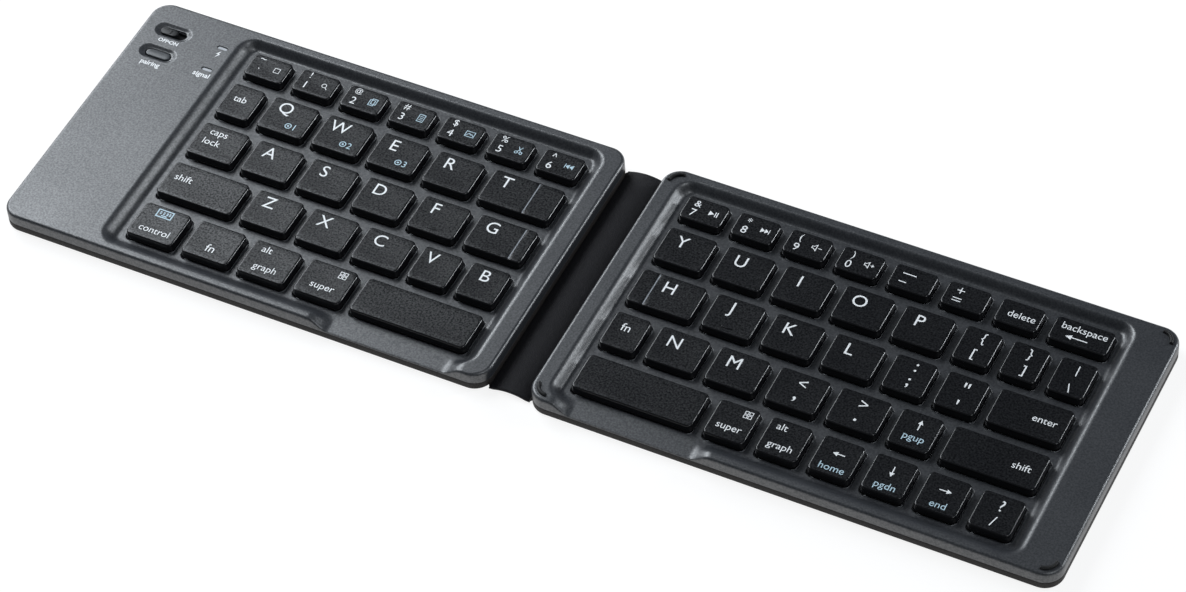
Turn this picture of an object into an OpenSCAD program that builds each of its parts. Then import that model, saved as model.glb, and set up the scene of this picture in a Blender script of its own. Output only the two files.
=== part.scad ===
// Folding keyboard with two rigid halves, a soft leather spine between them
// and island keys. It lies open, flat on its leather underside: X runs along
// the long side, Y towards the back, Z up. The origin is on the table in the
// middle of the spine.

/* [Body] */
// Height of the rim above the table
body_h = 6.7; // [6.6:0.1:8]
// Clear distance between the two rigid halves
spine_gap = 13.2; // [12.9:0.1:14]
// Radius of the outer corners
corner_r = 6; // [5.5:0.25:8]
// Radius of the rounding along the outer top edge
rim_round = 1.1; // [0.6:0.1:1.4]
// Height of the line where leather and frame meet
parting_z = 2.8; // [2.8:0.05:3]

/* [Key well] */
// Distance from the spine side of a half to the well
well_side = 6.9; // [6.6:0.1:7.5]
// Distance from the outer side of the left half to its well
left_margin = 34; // [33.6:0.2:35]
// Distance from the back edge to the well
well_back = 6.4; // [5.8:0.1:6.8]
// Distance from the front edge to the well
well_front = 5.8; // [5.6:0.1:6.4]
// Depth of the well floor below the rim
well_depth = 2.8; // [2.6:0.05:2.9]
// Run of the sloping well wall
well_slope = 1.5; // [1:0.1:1.6]
// Corner radius of the well floor
well_r = 3; // [2:0.25:4]
// Distance from the outer edge of the left well to its keys
left_key_gap = 6; // [5.6:0.1:8]
// Distance from the outer edge of the right well to its keys
right_key_gap = 5; // [4.6:0.1:7]
// Distance from the spine edge of a well to its keys
spine_key_gap = 4.4; // [4:0.1:6]
// Distance from the front edge of a well to the front row
front_key_gap = 3; // [2.8:0.1:4]
// Distance from the back edge of a well to the number row
back_key_gap = 2.6; // [2.5:0.1:4]
// Thickness of the deck between the keys
deck_t = 0.9; // [0.8:0.05:1]

/* [Thumb scoops] */
// Length of the lowered rim in front of the left space key
left_scoop_w = 44; // [40:1:48]
// Length of the lowered rim in front of the right space key
right_scoop_w = 44; // [40:1:46]
// Distance from the spine side to either scoop
scoop_side = 9.6; // [9:0.2:11]
// Run of the sloping ends of a scoop
scoop_run = 5; // [3:0.5:6]
// Drop of the scoop from the well to the front edge
scoop_fall = 0.4; // [0.2:0.05:0.5]

/* [Keys] */
// Width of a letter key across its top face
letter_w = 14.7; // [14:0.1:15]
// Width of a number key across its top face
number_w = 12.3; // [11.8:0.1:12.6]
// Width of the small keys at the right of the lower rows
small_w = 11.75; // [11.4:0.05:12]
// Width of the narrow keys
narrow_w = 10.2; // [9.8:0.1:10.6]
// Width of a space key
space_w = 37.3; // [36:0.1:38]
// Depth of a key across its top face
key_d = 12.4; // [12:0.1:12.8]
// Depth of a number key across its top face
number_d = 8.2; // [7.8:0.1:8.4]
// Distance from row to row
row_pitch = 18; // [16:0.1:20]
// Gap between two number keys
number_gap = 4.57; // [4.2:0.01:5.2]
// Height of the key skirt below the top face
cap_h = 3; // [2.9:0.05:3.1]
// Radius of the edge round the top face
cap_bevel = 0.55; // [0.3:0.05:0.6]
// Draft of the skirt on each side
cap_draft = 0.2; // [0.1:0.05:0.3]
// Wall of a keycap
cap_wall = 1; // [0.8:0.1:1.2]
// Corner radius of the top face
cap_r = 0.9; // [0.7:0.1:1.2]
// How far a key travels
key_travel = 1.5; // [1.2:0.1:1.5]
// Clearance between a key and its window in the deck
key_clear = 0.35; // [0.3:0.05:0.45]
// Width of the home bars on two of the letter keys
home_bar_w = 3.4; // [3:0.2:4]
// Width of the groove across a long letter key
groove_w = 0.35; // [0.25:0.05:0.5]

/* [Leather and case] */
// Thickness of the leather skin
leather_t = 0.9; // [0.8:0.05:1]
// Radius of the lower edge of the leather
leather_round = 0.8; // [0.4:0.1:0.9]
// Wall of the bottom case
case_wall = 1.2; // [1:0.1:1.4]
// Floor of the bottom case
case_floor = 0.6; // [0.6:0.05:0.7]
// Thickness of the steel key plate
plate_t = 0.3; // [0.25:0.05:0.35]
// Thickness of the rubber sheet under the keys
sheet_t = 0.2; // [0.15:0.05:0.2]
// Diameter of a rubber dome at its foot
dome_d = 5.4; // [5:0.1:5.8]

/* [Spine] */
// Height of the fold lines above the table
fold_z = 1.8; // [1.75:0.05:1.8]
// Distance from a rigid half to its fold line
fold_inset = 1.1; // [1.05:0.05:1.15]
// Rise of the spine in its middle
spine_rise = 1; // [0.8:0.05:1]
// Thickness of the outer leather of the spine
spine_skin = 0.8; // [0.7:0.05:0.85]
// Thickness of the inner lining of the spine
spine_lining_t = 0.45; // [0.4:0.05:0.5]
// Width of the flat cable between the halves
flex_w = 14; // [10:1:20]

/* [Controls] */
// Distance from the left side to the middle of the controls
control_side = 11; // [10.6:0.1:11.2]
// Distance from the back edge to the power switch
power_back = 11; // [10.6:0.1:11.4]
// Distance from the power switch to the pairing button
button_pitch = 9.9; // [9.6:0.1:10.4]
// Length of the dished recess of a control
dish_w = 13; // [12.6:0.1:13.4]
// Width of the dished recess of a control
dish_d = 6; // [5.8:0.1:6.4]
// Depth of the dished recess of a control
dish_h = 1.3; // [1.2:0.05:1.35]
// How far the power slider travels
slider_travel = 2.4; // [2:0.1:2.5]
// How far the pairing button travels
button_travel = 0.5; // [0.4:0.05:0.5]
// Length of a status light
light_w = 4.2; // [4:0.1:4.4]
// Distance from the left side to the status lights
light_side = 28.6; // [28:0.1:28.8]

/* [Hidden] */

// A little more than nothing, so that cuts run past the faces that they open.
past = 0.5;
// Clearance between rigid pieces that are put together.
fit = 0.1;
round_fn = 48;

frame_color = "#4b4e52";
key_color = "#1b1c20";
leather_color = "#37332f";

// Heights of the layers, from the table up.
case_z = leather_t;
plate_z = case_z + case_floor;
sheet_z = plate_z + plate_t;
dome_z = sheet_z + sheet_t;
deck_z = body_h - well_depth;
key_top = body_h;
cap_z = key_top - cap_h;
cap_roof = key_top - cap_wall;

// Widths of the wide keys, each what its row leaves for it.
tab_w = narrow_w;
caps_w = letter_w;
t_w = 22.7;
g_w = 18.2;
h_w = 19.7;
left_shift_w = 24.7;
right_shift_w = 28.1;
enter_w = 21.5;
backspace_w = 17.2;
right_letter_w = letter_w - 0.1;
number_count = 7;

// The rows from back to front, each a list of key widths from left to right.
left_rows = [
  [for (i = [1:number_count]) number_w],
  [tab_w, letter_w, letter_w, letter_w, letter_w, t_w],
  [caps_w, letter_w, letter_w, letter_w, letter_w, g_w],
  [left_shift_w, letter_w, letter_w, letter_w, small_w, small_w],
  [letter_w, letter_w, letter_w, letter_w, space_w]
];
right_rows = [
  [for (i = [0:number_count]) i < number_count ? number_w : backspace_w],
  [for (i = [0:7]) i < 5 ? right_letter_w : narrow_w],
  [h_w, right_letter_w, right_letter_w, right_letter_w, small_w, small_w, enter_w],
  [narrow_w, letter_w, letter_w, letter_w, letter_w, small_w, right_shift_w],
  [space_w, small_w, small_w, small_w, small_w, small_w, small_w]
];

function sum_to(list, n) = n == 0 ? 0 : list[n - 1] + sum_to(list, n - 1);
function row_gap(row, field) = (field - sum_to(row, len(row))) / (len(row) - 1);
function row_d(row) = row == 0 ? number_d : key_d;
function row_y(row) =
  well_y0 + front_key_gap + (4 - row) * row_pitch + row_d(row) / 2;
function key_x(start, field, row, i) =
  start + sum_to(row, i) + i * row_gap(row, field) + row[i] / 2;

// The number rows set the length of the key fields, and the left field with
// the controls beside it sets the length of both halves.
left_field = sum_to(left_rows[0], number_count) + (number_count - 1) * number_gap;
right_field = sum_to(right_rows[0], number_count + 1) + number_count * number_gap;
keys_side = well_side + spine_key_gap;
half_w = left_margin + left_key_gap + left_field + keys_side;
body_d = well_front + front_key_gap + 4 * row_pitch + number_d + back_key_gap + well_back;

inner_x = spine_gap / 2;
outer_x = inner_x + half_w;
left_start = -inner_x - keys_side - left_field;
right_start = inner_x + keys_side;
left_well_x0 = left_start - left_key_gap;
left_well_x1 = -inner_x - well_side;
right_well_x0 = inner_x + well_side;
right_well_x1 = right_start + right_field + right_key_gap;
well_y0 = -body_d / 2 + well_front;
well_y1 = body_d / 2 - well_back;

// Rounded rectangle, its lower left corner at the origin of the given box.
module rounded(x0, y0, x1, y1, r) {
  translate([x0 + r, y0]) square([x1 - x0 - 2 * r, y1 - y0]);
  translate([x0, y0 + r]) square([x1 - x0, y1 - y0 - 2 * r]);
  for (x = [x0 + r, x1 - r], y = [y0 + r, y1 - r])
    translate([x, y]) circle(r, $fn = round_fn);
}

// Slab with rounded corners, straight sides.
module slab(x0, y0, x1, y1, r, z0, z1) {
  translate([0, 0, z0]) linear_extrude(z1 - z0) rounded(x0, y0, x1, y1, r);
}

// Outline of a block from side to side that follows a profile up both sides.
module both_sides(half, profile) {
  top = len(profile) - 1;
  polygon(concat(
    [for (p = profile) [half + p[0], p[1]]],
    [for (i = [top:-1:0]) [-half - profile[i][0], profile[i][1]]]
  ));
}

// Block with rounded corners whose sides follow a profile: a list of how far
// they stand out and at which height, from the bottom up.
module profiled(x0, y0, x1, y1, r, profile) {
  w = (x1 - x0) / 2;
  d = (y1 - y0) / 2;
  top = len(profile) - 1;
  translate([(x0 + x1) / 2, (y0 + y1) / 2, 0]) {
    rotate([90, 0, 0])
      translate([0, 0, -d + r]) linear_extrude(2 * (d - r)) both_sides(w, profile);
    rotate([90, 0, 90])
      translate([0, 0, -w + r]) linear_extrude(2 * (w - r)) both_sides(d, profile);
    for (x = [-w + r, w - r], y = [-d + r, d - r])
      translate([x, y, 0])
        rotate_extrude($fn = round_fn)
          polygon(concat(
            [[0, profile[0][1]]],
            [for (p = profile) [r + p[0], p[1]]],
            [[0, profile[top][1]]]
          ));
  }
}

// Profile of an edge that is rounded at its top, in steps.
function round_top(r, z, steps) =
  [for (i = [0:steps]) let (a = 90 * i / steps) [r * (cos(a) - 1), z - r + r * sin(a)]];

// Share of a rise that starts and ends level, at a share t of its run.
function soft_rise(t) = (1 - cos(180 * t)) / 2;

module stadium(w, d) {
  square([w - d, d], center = true);
  for (x = [-1, 1]) translate([x * (w - d) / 2, 0]) circle(d / 2, $fn = round_fn);
}

// Dished recess: a stadium that narrows downwards.
module dish(w, d, h, lean) {
  translate([0, 0, -h]) {
    rotate([90, 0, 90])
      translate([0, 0, -(w - d) / 2])
        linear_extrude(w - d)
          polygon([[-d / 2 + lean, 0], [d / 2 - lean, 0], [d / 2, h], [-d / 2, h]]);
    for (x = [-1, 1])
      translate([x * (w - d) / 2, 0, 0])
        cylinder(h, d / 2 - lean, d / 2, $fn = round_fn);
  }
}

// ---- Keys ----------------------------------------------------------------

// One keycap, its middle at the origin and its top face at height zero.
module keycap(w, d) {
  sw = w / 2 + cap_bevel;
  sd = d / 2 + cap_bevel;
  skirt = [cap_draft, -cap_h];
  difference() {
    profiled(-sw, -sd, sw, sd, cap_r + cap_bevel,
      concat([skirt], round_top(cap_bevel, 0, 2)));
    slab(-sw + cap_wall, -sd + cap_wall, sw - cap_wall, sd - cap_wall, cap_r,
      -cap_h - past, -cap_wall);
  }
}

// Width of the window that a keycap of this top width passes through.
function window(w) = w + 2 * (cap_bevel + cap_draft + key_clear);

module caps(rows, start, field, row, picks) {
  color(key_color)
    for (i = picks)
      translate([key_x(start, field, rows[row], i), row_y(row), key_top])
        keycap(rows[row][i], row_d(row));
}

module left_keys(row, picks) {
  caps(left_rows, left_start, left_field, row, picks);
}

module right_keys(row, picks) {
  caps(right_rows, right_start, right_field, row, picks);
}

// Raised bar near the front of a key, which a finger feels.
home_bar_d = 0.5;
home_bar_h = 0.15;
home_bar_front = 1.5;
module home_bar(rows, start, field, row, i) {
  y = row_y(row) - key_d / 2 + home_bar_front;
  color(key_color)
    translate([key_x(start, field, rows[row], i) - home_bar_w / 2, y - home_bar_d / 2, 0])
      translate([0, 0, key_top - fit]) cube([home_bar_w, home_bar_d, home_bar_h + fit]);
}

// Groove that marks a letter's place on a key that is longer than its letter.
groove_h = 0.12;
module groove(x, row) {
  translate([x - groove_w / 2, row_y(row) - key_d, key_top - groove_h])
    cube([groove_w, 2 * key_d, groove_h + past]);
}

module windows(rows, start, field) {
  for (row = [0:4], i = [0:len(rows[row]) - 1]) {
    w = window(rows[row][i]) / 2;
    d = window(row_d(row)) / 2;
    x = key_x(start, field, rows[row], i);
    y = row_y(row);
    slab(x - w, y - d, x + w, y + d, cap_r + cap_bevel + key_clear,
      deck_z - deck_t - past, deck_z + past);
  }
}

// ---- Frames --------------------------------------------------------------

// Outer block of a half with its rounded rim, before anything is cut.
module rim_block(x0, x1) {
  y = body_d / 2;
  profiled(x0, -y, x1, y, corner_r,
    concat([[0, parting_z]], round_top(rim_round, body_h, 3)));
}

// The well, down to the deck. Its wall leaves the rim and meets the deck softly.
well_steps = 6;
module well(x0, x1) {
  wall = [
    for (i = [0:well_steps])
      let (t = i / well_steps)
        [well_slope * (t - 1), deck_z + well_depth * soft_rise(t)]
  ];
  profiled(x0, well_y0, x1, well_y1, well_r + well_slope,
    concat(wall, [[0, body_h + past]]));
}

// Lowered front rim with soft ends, falling a little towards the front.
scoop_steps = 8;
module scoop(x0, x1) {
  run = well_front + well_slope + past;
  tilt = atan(scoop_fall / run);
  rise = [for (i = [0:scoop_steps]) i / scoop_steps];
  translate([0, well_y0 + well_slope, deck_z])
    rotate([tilt, 0, 0])
      rotate([90, 0, 0])
        linear_extrude(run + past)
          polygon(concat(
            [for (t = rise) [x1 + scoop_run * t, (well_depth + scoop_fall) * soft_rise(t)]],
            [[x1 + scoop_run, body_h], [x0 - scoop_run, body_h]],
            [
              for (i = [scoop_steps:-1:0])
                [x0 - scoop_run * rise[i], (well_depth + scoop_fall) * soft_rise(rise[i])]
            ]
          ));
}

// Space under the deck for plate, sheet and keys.
module deck_room(x0, x1) {
  slab(x0 + well_slope, well_y0 + well_slope, x1 - well_slope, well_y1 - well_slope,
    well_r, parting_z - past, deck_z - deck_t);
}

screw_inset = 3.6;
screw_side = 9;
screw_post_d = 4.4;
screw_d = 1.6;
screw_h = 3.2;
screw_head_d = 3;
function screw_spots(x0, x1) = [
  for (x = [x0 + screw_side, (x0 + x1) / 2, x1 - screw_side], y = [-1, 1])
    [x, y * (body_d / 2 - screw_inset)]
];

module screw_bores(x0, x1) {
  for (s = screw_spots(x0, x1))
    translate([s[0], s[1], case_z - past])
      cylinder(screw_h + past + fit, d = screw_d + 2 * fit, $fn = round_fn);
}

magnet_d = 4;
magnet_boss_d = magnet_d + 3;
magnet_h = 1.2;
magnet_roof = 0.7;
magnet_inset = 5.4;
magnet_front = 11;
magnet_pitch = 44;
magnet_ys = [for (i = [0, 1]) -body_d / 2 + magnet_front + i * magnet_pitch];
module magnet_bores(x) {
  for (y = magnet_ys)
    translate([x, y, parting_z - past])
      cylinder(body_h - magnet_roof - parting_z + past, d = magnet_d + 2 * fit, $fn = round_fn);
}

module frame_half(x0, x1, wx0, wx1, sx0, sx1) {
  difference() {
    rim_block(x0, x1);
    well(wx0, wx1);
    scoop(sx0, sx1);
    deck_room(wx0, wx1);
    screw_bores(x0, x1);
  }
}

// Places on the left half.
control_x = -outer_x + control_side;
power_y = body_d / 2 - power_back;
button_y = power_y - button_pitch;
light_x = -outer_x + light_side;
light_ys = [power_y, button_y];
light_d = 1.4;

// Room for battery and circuit board beside the left well.
bay_wall = 2.6;
bay_rib = 2.4;
bay_roof = 1.1;
bay_x0 = -outer_x + bay_wall;
bay_x1 = left_well_x0 - bay_rib;
bay_y = body_d / 2 - bay_wall;
bay_r = 2;
bay_top = body_h - bay_roof;
dish_lean = 0.9;
dish_z = body_h - dish_h;
dish_floor = 0.8;
dish_wall = 0.5;

slider_w = 8.4;
slider_d = 3.4;
slider_h = 1;
neck_w = 3;
neck_d = 1.6;
slider_x = control_x - slider_travel / 2;
button_w = 9.2;
button_d = 3;
button_sink = 0.4;
flange_t = 0.5;
flange_w = 1;
board_lift = 0.5;
board_z = plate_z + board_lift;
board_t = 0.8;
board_top = board_z + board_t;
socket_back = 34;
socket_y = body_d / 2 - socket_back;
socket_w = 7.6;
socket_l = 5.6;
socket_h = 2.6;

module left_frame() {
  color(frame_color)
    difference() {
      union() {
        difference() {
          frame_half(-outer_x, -inner_x, left_well_x0, left_well_x1,
            -inner_x - scoop_side - left_scoop_w, -inner_x - scoop_side);
          slab(bay_x0, -bay_y, bay_x1, bay_y, bay_r, parting_z - past, bay_top);
        }
        for (y = [power_y, button_y])
          translate([control_x, y, dish_z - dish_floor])
            linear_extrude(bay_top + fit - dish_z + dish_floor)
              stadium(dish_w + 2 * dish_wall, dish_d + 2 * dish_wall);
        for (y = magnet_ys)
          translate([-outer_x + magnet_inset, y, parting_z])
            cylinder(bay_top + fit - parting_z, d = magnet_boss_d, $fn = round_fn);
      }
      windows(left_rows, left_start, left_field);
      for (y = [power_y, button_y])
        translate([control_x, y, body_h + 0.001]) dish(dish_w, dish_d, dish_h, dish_lean);
      translate([control_x, power_y, dish_z - dish_floor - past])
        linear_extrude(dish_floor + 2 * past)
          square([neck_w + slider_travel + 4 * fit, neck_d + 2 * fit], center = true);
      translate([control_x, button_y, dish_z - dish_floor - past])
        linear_extrude(dish_floor + 2 * past)
          stadium(button_w + 4 * fit, button_d + 4 * fit);
      for (y = light_ys)
        translate([light_x, y, bay_top - past])
          linear_extrude(bay_roof + 2 * past) stadium(light_w + 2 * fit, light_d + 2 * fit);
      magnet_bores(-outer_x + magnet_inset);
      translate([-outer_x - past, socket_y - socket_w / 2 - fit, board_top - fit])
        cube([bay_wall + 2 * past, socket_w + 2 * fit, socket_h + 2 * fit]);
    }
}

module right_frame() {
  color(frame_color)
    difference() {
      frame_half(inner_x, outer_x, right_well_x0, right_well_x1,
        inner_x + scoop_side, inner_x + scoop_side + right_scoop_w);
      windows(right_rows, right_start, right_field);
      magnet_bores(outer_x - magnet_inset);
      bumper_arcs(bumper_sink, 0.001 + bumper_rise, fit);
    }
}

// ---- Rubber bumpers ------------------------------------------------------

bumper_r = 3.8;
bumper_t = 1;
bumper_rise = 0.9;
bumper_sink = 0.5;

// Quarter rings in the four corners of the right half.
module bumper_arcs(sink, rise, grow) {
  for (c = [
      [inner_x + corner_r, body_d / 2 - corner_r, 90],
      [outer_x - corner_r, body_d / 2 - corner_r, 0],
      [outer_x - corner_r, -body_d / 2 + corner_r, 270],
      [inner_x + corner_r, -body_d / 2 + corner_r, 180]
    ])
    translate([c[0], c[1], body_h - sink])
      rotate([0, 0, c[2]])
        rotate_extrude(angle = 90, $fn = round_fn)
          translate([bumper_r - bumper_t / 2 - grow, 0])
            square([bumper_t + 2 * grow, sink + rise]);
}

module corner_bumpers() {
  color("#111113") bumper_arcs(bumper_sink, bumper_rise, 0);
}

// ---- Bottom cases and leather --------------------------------------------

module case_half(x0, x1, posts) {
  i = leather_t;
  j = leather_t + case_wall;
  y = body_d / 2;
  color("#2b2c2f")
    difference() {
      union() {
        difference() {
          slab(x0 + i, -y + i, x1 - i, y - i, corner_r - i, case_z, parting_z);
          slab(x0 + j, -y + j, x1 - j, y - j, corner_r - j, plate_z, parting_z + past);
        }
        intersection() {
          for (s = screw_spots(x0, x1))
            translate([s[0], s[1], case_z])
              cylinder(parting_z - case_z, d = screw_post_d, $fn = round_fn);
          slab(x0 + i, -y + i, x1 - i, y - i, corner_r - i, case_z, parting_z);
        }
        for (p = posts)
          translate([p[0], p[1], case_z])
            cylinder(board_z - case_z, d = board_post_d, $fn = round_fn);
      }
      screw_bores(x0, x1);
      for (s = screw_spots(x0, x1))
        translate([s[0], s[1], case_z - past])
          cylinder(case_floor + past, d = screw_head_d + 2 * fit, $fn = round_fn);
    }
}

// Leather tray round the lower edge, with a flap that runs to the fold line.
module leather_half(x0, x1, side) {
  y = body_d / 2;
  flap_w = fold_inset - 2 * fit;
  foot = [
    for (p = round_top(leather_round, 0, 2)) [p[0], -p[1]]
  ];
  color(leather_color)
    difference() {
      union() {
        profiled(x0, -y, x1, y, corner_r,
          concat([for (i = [2:-1:0]) foot[i]], [[0, parting_z]]));
        translate([side > 0 ? x0 - flap_w : x1 - corner_r, -y + corner_r / 2, 0])
          cube([flap_w + corner_r, body_d - corner_r, leather_t]);
      }
      slab(x0 + leather_t, -y + leather_t, x1 - leather_t, y - leather_t,
        corner_r - leather_t, leather_t, parting_z + past);
    }
}

board_inset = 1.4;
board_l = 34;
board_post_d = 3;
board_x0 = bay_x0 + board_inset;
board_x1 = bay_x1 - 1;
board_y1 = body_d / 2 - screw_inset - screw_post_d / 2 - 2 * fit;
board_y0 = board_y1 - board_l;
board_posts = [
  for (x = [board_x0 + board_post_d, board_x1 - board_post_d])
    for (y = [board_y0 + board_post_d, board_y1 - board_post_d]) [x, y]
];

module left_case() { case_half(-outer_x, -inner_x, board_posts); }
module right_case() { case_half(inner_x, outer_x, []); }
module left_leather() { leather_half(-outer_x, -inner_x, -1); }
module right_leather() { leather_half(inner_x, outer_x, 1); }

// ---- Under the keys ------------------------------------------------------

plate_gap = 0.6;
module key_plate(x0, x1) {
  color("#9a9da1")
    slab(x0 + plate_gap, well_y0 + plate_gap, x1 - plate_gap, well_y1 - plate_gap,
      well_r, plate_z, sheet_z);
}

// Rubber sheet with one dome under each key.
dome_gap = 0.3;
module dome_sheet(x0, x1, rows, start, field) {
  foot_h = sheet_t / 4;
  dome_h = cap_roof - dome_gap - dome_z;
  color("#c9ccd0") {
    slab(x0 + plate_gap, well_y0 + plate_gap, x1 - plate_gap, well_y1 - plate_gap,
      well_r, sheet_z, dome_z);
    for (row = [0:4], i = [0:len(rows[row]) - 1])
      translate([key_x(start, field, rows[row], i), row_y(row), dome_z - foot_h])
        cylinder(dome_h + foot_h, dome_d / 2, dome_d / 4, $fn = 24);
  }
}

module left_key_plate() { key_plate(left_well_x0, left_well_x1); }
module right_key_plate() { key_plate(right_well_x0, right_well_x1); }
module left_dome_sheet() {
  dome_sheet(left_well_x0, left_well_x1, left_rows, left_start, left_field);
}
module right_dome_sheet() {
  dome_sheet(right_well_x0, right_well_x1, right_rows, right_start, right_field);
}

// ---- Inside the left half ------------------------------------------------

battery_h = 3.4;
battery_front = 12;
battery_gap = 5;
battery_x0 = -outer_x + magnet_inset + magnet_boss_d / 2 + 6 * fit;
module battery() {
  color("#b8babd")
    slab(battery_x0, -body_d / 2 + battery_front, board_x1, board_y0 - battery_gap,
      1, plate_z, plate_z + battery_h);
}

module circuit_board() {
  color("#1f5a3c")
    slab(board_x0, board_y0, board_x1, board_y1, 1, board_z, board_top);
}

// Shell of the charging socket, open towards the left side.
socket_t = 0.35;
socket_back_t = 0.6;
socket_inset = 0.4;
module usb_socket() {
  x = -outer_x + socket_inset;
  y = socket_y - socket_w / 2;
  color("#c4c6c8")
    difference() {
      translate([x, y, board_top]) cube([socket_l, socket_w, socket_h]);
      translate([x - past, y + socket_t, board_top + socket_t])
        cube([socket_l - socket_back_t + past, socket_w - 2 * socket_t, socket_h - 2 * socket_t]);
    }
}

// Slider with three ridges for the finger and a neck that reaches the switch.
ridge_pitch = 2.4;
ridge_w = 0.4;
ridge_d = 1.8;
ridge_h = 0.2;
neck_reach = 0.5;
module power_slider() {
  foot_z = dish_z - dish_floor - neck_reach;
  color("#17181b")
    translate([slider_x, power_y, 0]) {
      translate([0, 0, dish_z + fit / 2]) linear_extrude(slider_h) stadium(slider_w, slider_d);
      for (x = [-ridge_pitch, 0, ridge_pitch])
        translate([x - ridge_w / 2, -ridge_d / 2, dish_z + slider_h])
          cube([ridge_w, ridge_d, ridge_h]);
      translate([-neck_w / 2, -neck_d / 2, foot_z])
        cube([neck_w, neck_d, dish_z + fit - foot_z]);
    }
}

button_seat = dish_z - dish_floor - fit / 2;
module pairing_button() {
  top = body_h - button_sink;
  color("#3a3c40")
    translate([control_x, button_y, 0]) {
      translate([0, 0, button_seat - flange_t]) linear_extrude(flange_t)
        stadium(button_w + 2 * flange_w, button_d + 2 * flange_w);
      translate([0, 0, button_seat - fit])
        linear_extrude(top - button_seat + fit) stadium(button_w, button_d);
    }
}

// Slide switch and push switch, both on the circuit board.
slide_switch_w = 8;
slide_switch_d = 3.6;
push_switch_w = 4.4;
plunger_d = 1.8;
plunger_h = 0.25;
module board_switches() {
  slide_top = dish_z - dish_floor - neck_reach - 2 * fit;
  push_top = button_seat - flange_t - button_travel - plunger_h;
  color("#8c8f93") {
    translate([control_x - slide_switch_w / 2, power_y - slide_switch_d / 2, board_top])
      cube([slide_switch_w, slide_switch_d, slide_top - board_top]);
    translate([control_x - push_switch_w / 2, button_y - push_switch_w / 2, board_top])
      cube([push_switch_w, push_switch_w, push_top - board_top]);
    translate([control_x, button_y, push_top - fit])
      cylinder(plunger_h, d = plunger_d, $fn = 32);
  }
}

module light_guides() {
  color("#dfe3e6")
    for (y = light_ys)
      translate([light_x, y, board_top])
        linear_extrude(body_h - board_top) stadium(light_w, light_d);
}

module magnets(x) {
  color("#a9abae")
    for (y = magnet_ys)
      translate([x, y, body_h - magnet_roof - magnet_h])
        cylinder(magnet_h, d = magnet_d, $fn = round_fn);
}

module left_magnets() { magnets(-outer_x + magnet_inset); }
module right_magnets() { magnets(outer_x - magnet_inset); }

// Countersunk screws with a cross slot, driven in from below.
slot_w = 1.8;
slot_d = 0.4;
slot_h = 0.3;
module screws(x0, x1) {
  color("#8f9295")
    for (s = screw_spots(x0, x1))
      translate([s[0], s[1], case_z])
        difference() {
          union() {
            cylinder(case_floor, d = screw_head_d, $fn = round_fn);
            cylinder(screw_h, d = screw_d, $fn = round_fn);
          }
          for (a = [0, 90])
            rotate([0, 0, a])
              translate([-slot_w / 2, -slot_d / 2, -past]) cube([slot_w, slot_d, past + slot_h]);
        }
}

module left_screws() { screws(-outer_x, -inner_x); }
module right_screws() { screws(inner_x, outer_x); }

// ---- Spine ---------------------------------------------------------------

fold_x = inner_x - fold_inset;
spine_x = fold_x - 2 * fit;
spine_end = 2.4;
spine_y = body_d / 2 - spine_end;
arch_r = (spine_x * spine_x + spine_rise * spine_rise) / (2 * spine_rise);

// Layer of the arched spine between two heights above its underside.
module arch_layer(low, high, y) {
  rotate([90, 0, 0])
    translate([0, 0, -y])
      linear_extrude(2 * y)
        intersection() {
          translate([0, spine_rise - arch_r])
            difference() {
              circle(arch_r + high, $fn = 128);
              circle(arch_r + low, $fn = 128);
            }
          translate([-spine_x, -1]) square([2 * spine_x, body_h]);
        }
}

flex_t = 0.2;
flex_back = 31;
flex_y = body_d / 2 - flex_back;
module spine_leather() {
  color(leather_color)
    difference() {
      arch_layer(0, spine_skin, spine_y);
      translate([0, flex_y, 0])
        arch_layer(spine_skin - flex_t, spine_skin + past, flex_w / 2 + fit);
    }
}

module spine_lining() {
  color("#2c2a2a") arch_layer(spine_skin, spine_skin + spine_lining_t, spine_y);
}

module spine_cable() {
  color("#b5742c")
    translate([0, flex_y, 0]) arch_layer(spine_skin - flex_t, spine_skin, flex_w / 2);
}

// ---- Key nodes -----------------------------------------------------------

module key_q() { left_keys(1, [1]); }
module key_w() { left_keys(1, [2]); }
module key_e() { left_keys(1, [3]); }
module key_r() { left_keys(1, [4]); }
module key_t() {
  difference() {
    left_keys(1, [5]);
    groove(key_x(left_start, left_field, left_rows[1], 5) - t_w / 2 + letter_w, 1);
  }
}
module key_a() { left_keys(2, [1]); }
module key_s() { left_keys(2, [2]); }
module key_d_letter() { left_keys(2, [3]); }
module key_f() {
  left_keys(2, [4]);
  home_bar(left_rows, left_start, left_field, 2, 4);
}
module key_g() {
  difference() {
    left_keys(2, [5]);
    groove(key_x(left_start, left_field, left_rows[2], 5) - g_w / 2 + letter_w, 2);
  }
}
module key_z() { left_keys(3, [1]); }
module key_x_letter() { left_keys(3, [2]); }
module key_c() { left_keys(3, [3]); }
module key_v() { left_keys(3, [4]); }
module key_b() { left_keys(3, [5]); }
module left_space_key() { left_keys(4, [4]); }
module left_number_keys() { left_keys(0, [0:6]); }
module left_side_keys() {
  for (row = [1:3]) left_keys(row, [0]);
  left_keys(4, [0:3]);
}
module key_y() { right_keys(1, [0]); }
module key_u() { right_keys(1, [1]); }
module key_i() { right_keys(1, [2]); }
module key_o() { right_keys(1, [3]); }
module key_p() { right_keys(1, [4]); }
module key_h() {
  difference() {
    right_keys(2, [0]);
    groove(key_x(right_start, right_field, right_rows[2], 0) + h_w / 2 - letter_w, 2);
  }
}
module key_j() {
  right_keys(2, [1]);
  home_bar(right_rows, right_start, right_field, 2, 1);
}
module key_k() { right_keys(2, [2]); }
module key_l() { right_keys(2, [3]); }
module key_n() { right_keys(3, [1]); }
module key_m() { right_keys(3, [2]); }
module right_space_key() { right_keys(4, [0]); }
module enter_key() { right_keys(2, [6]); }
module right_number_keys() { right_keys(0, [0:7]); }
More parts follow.
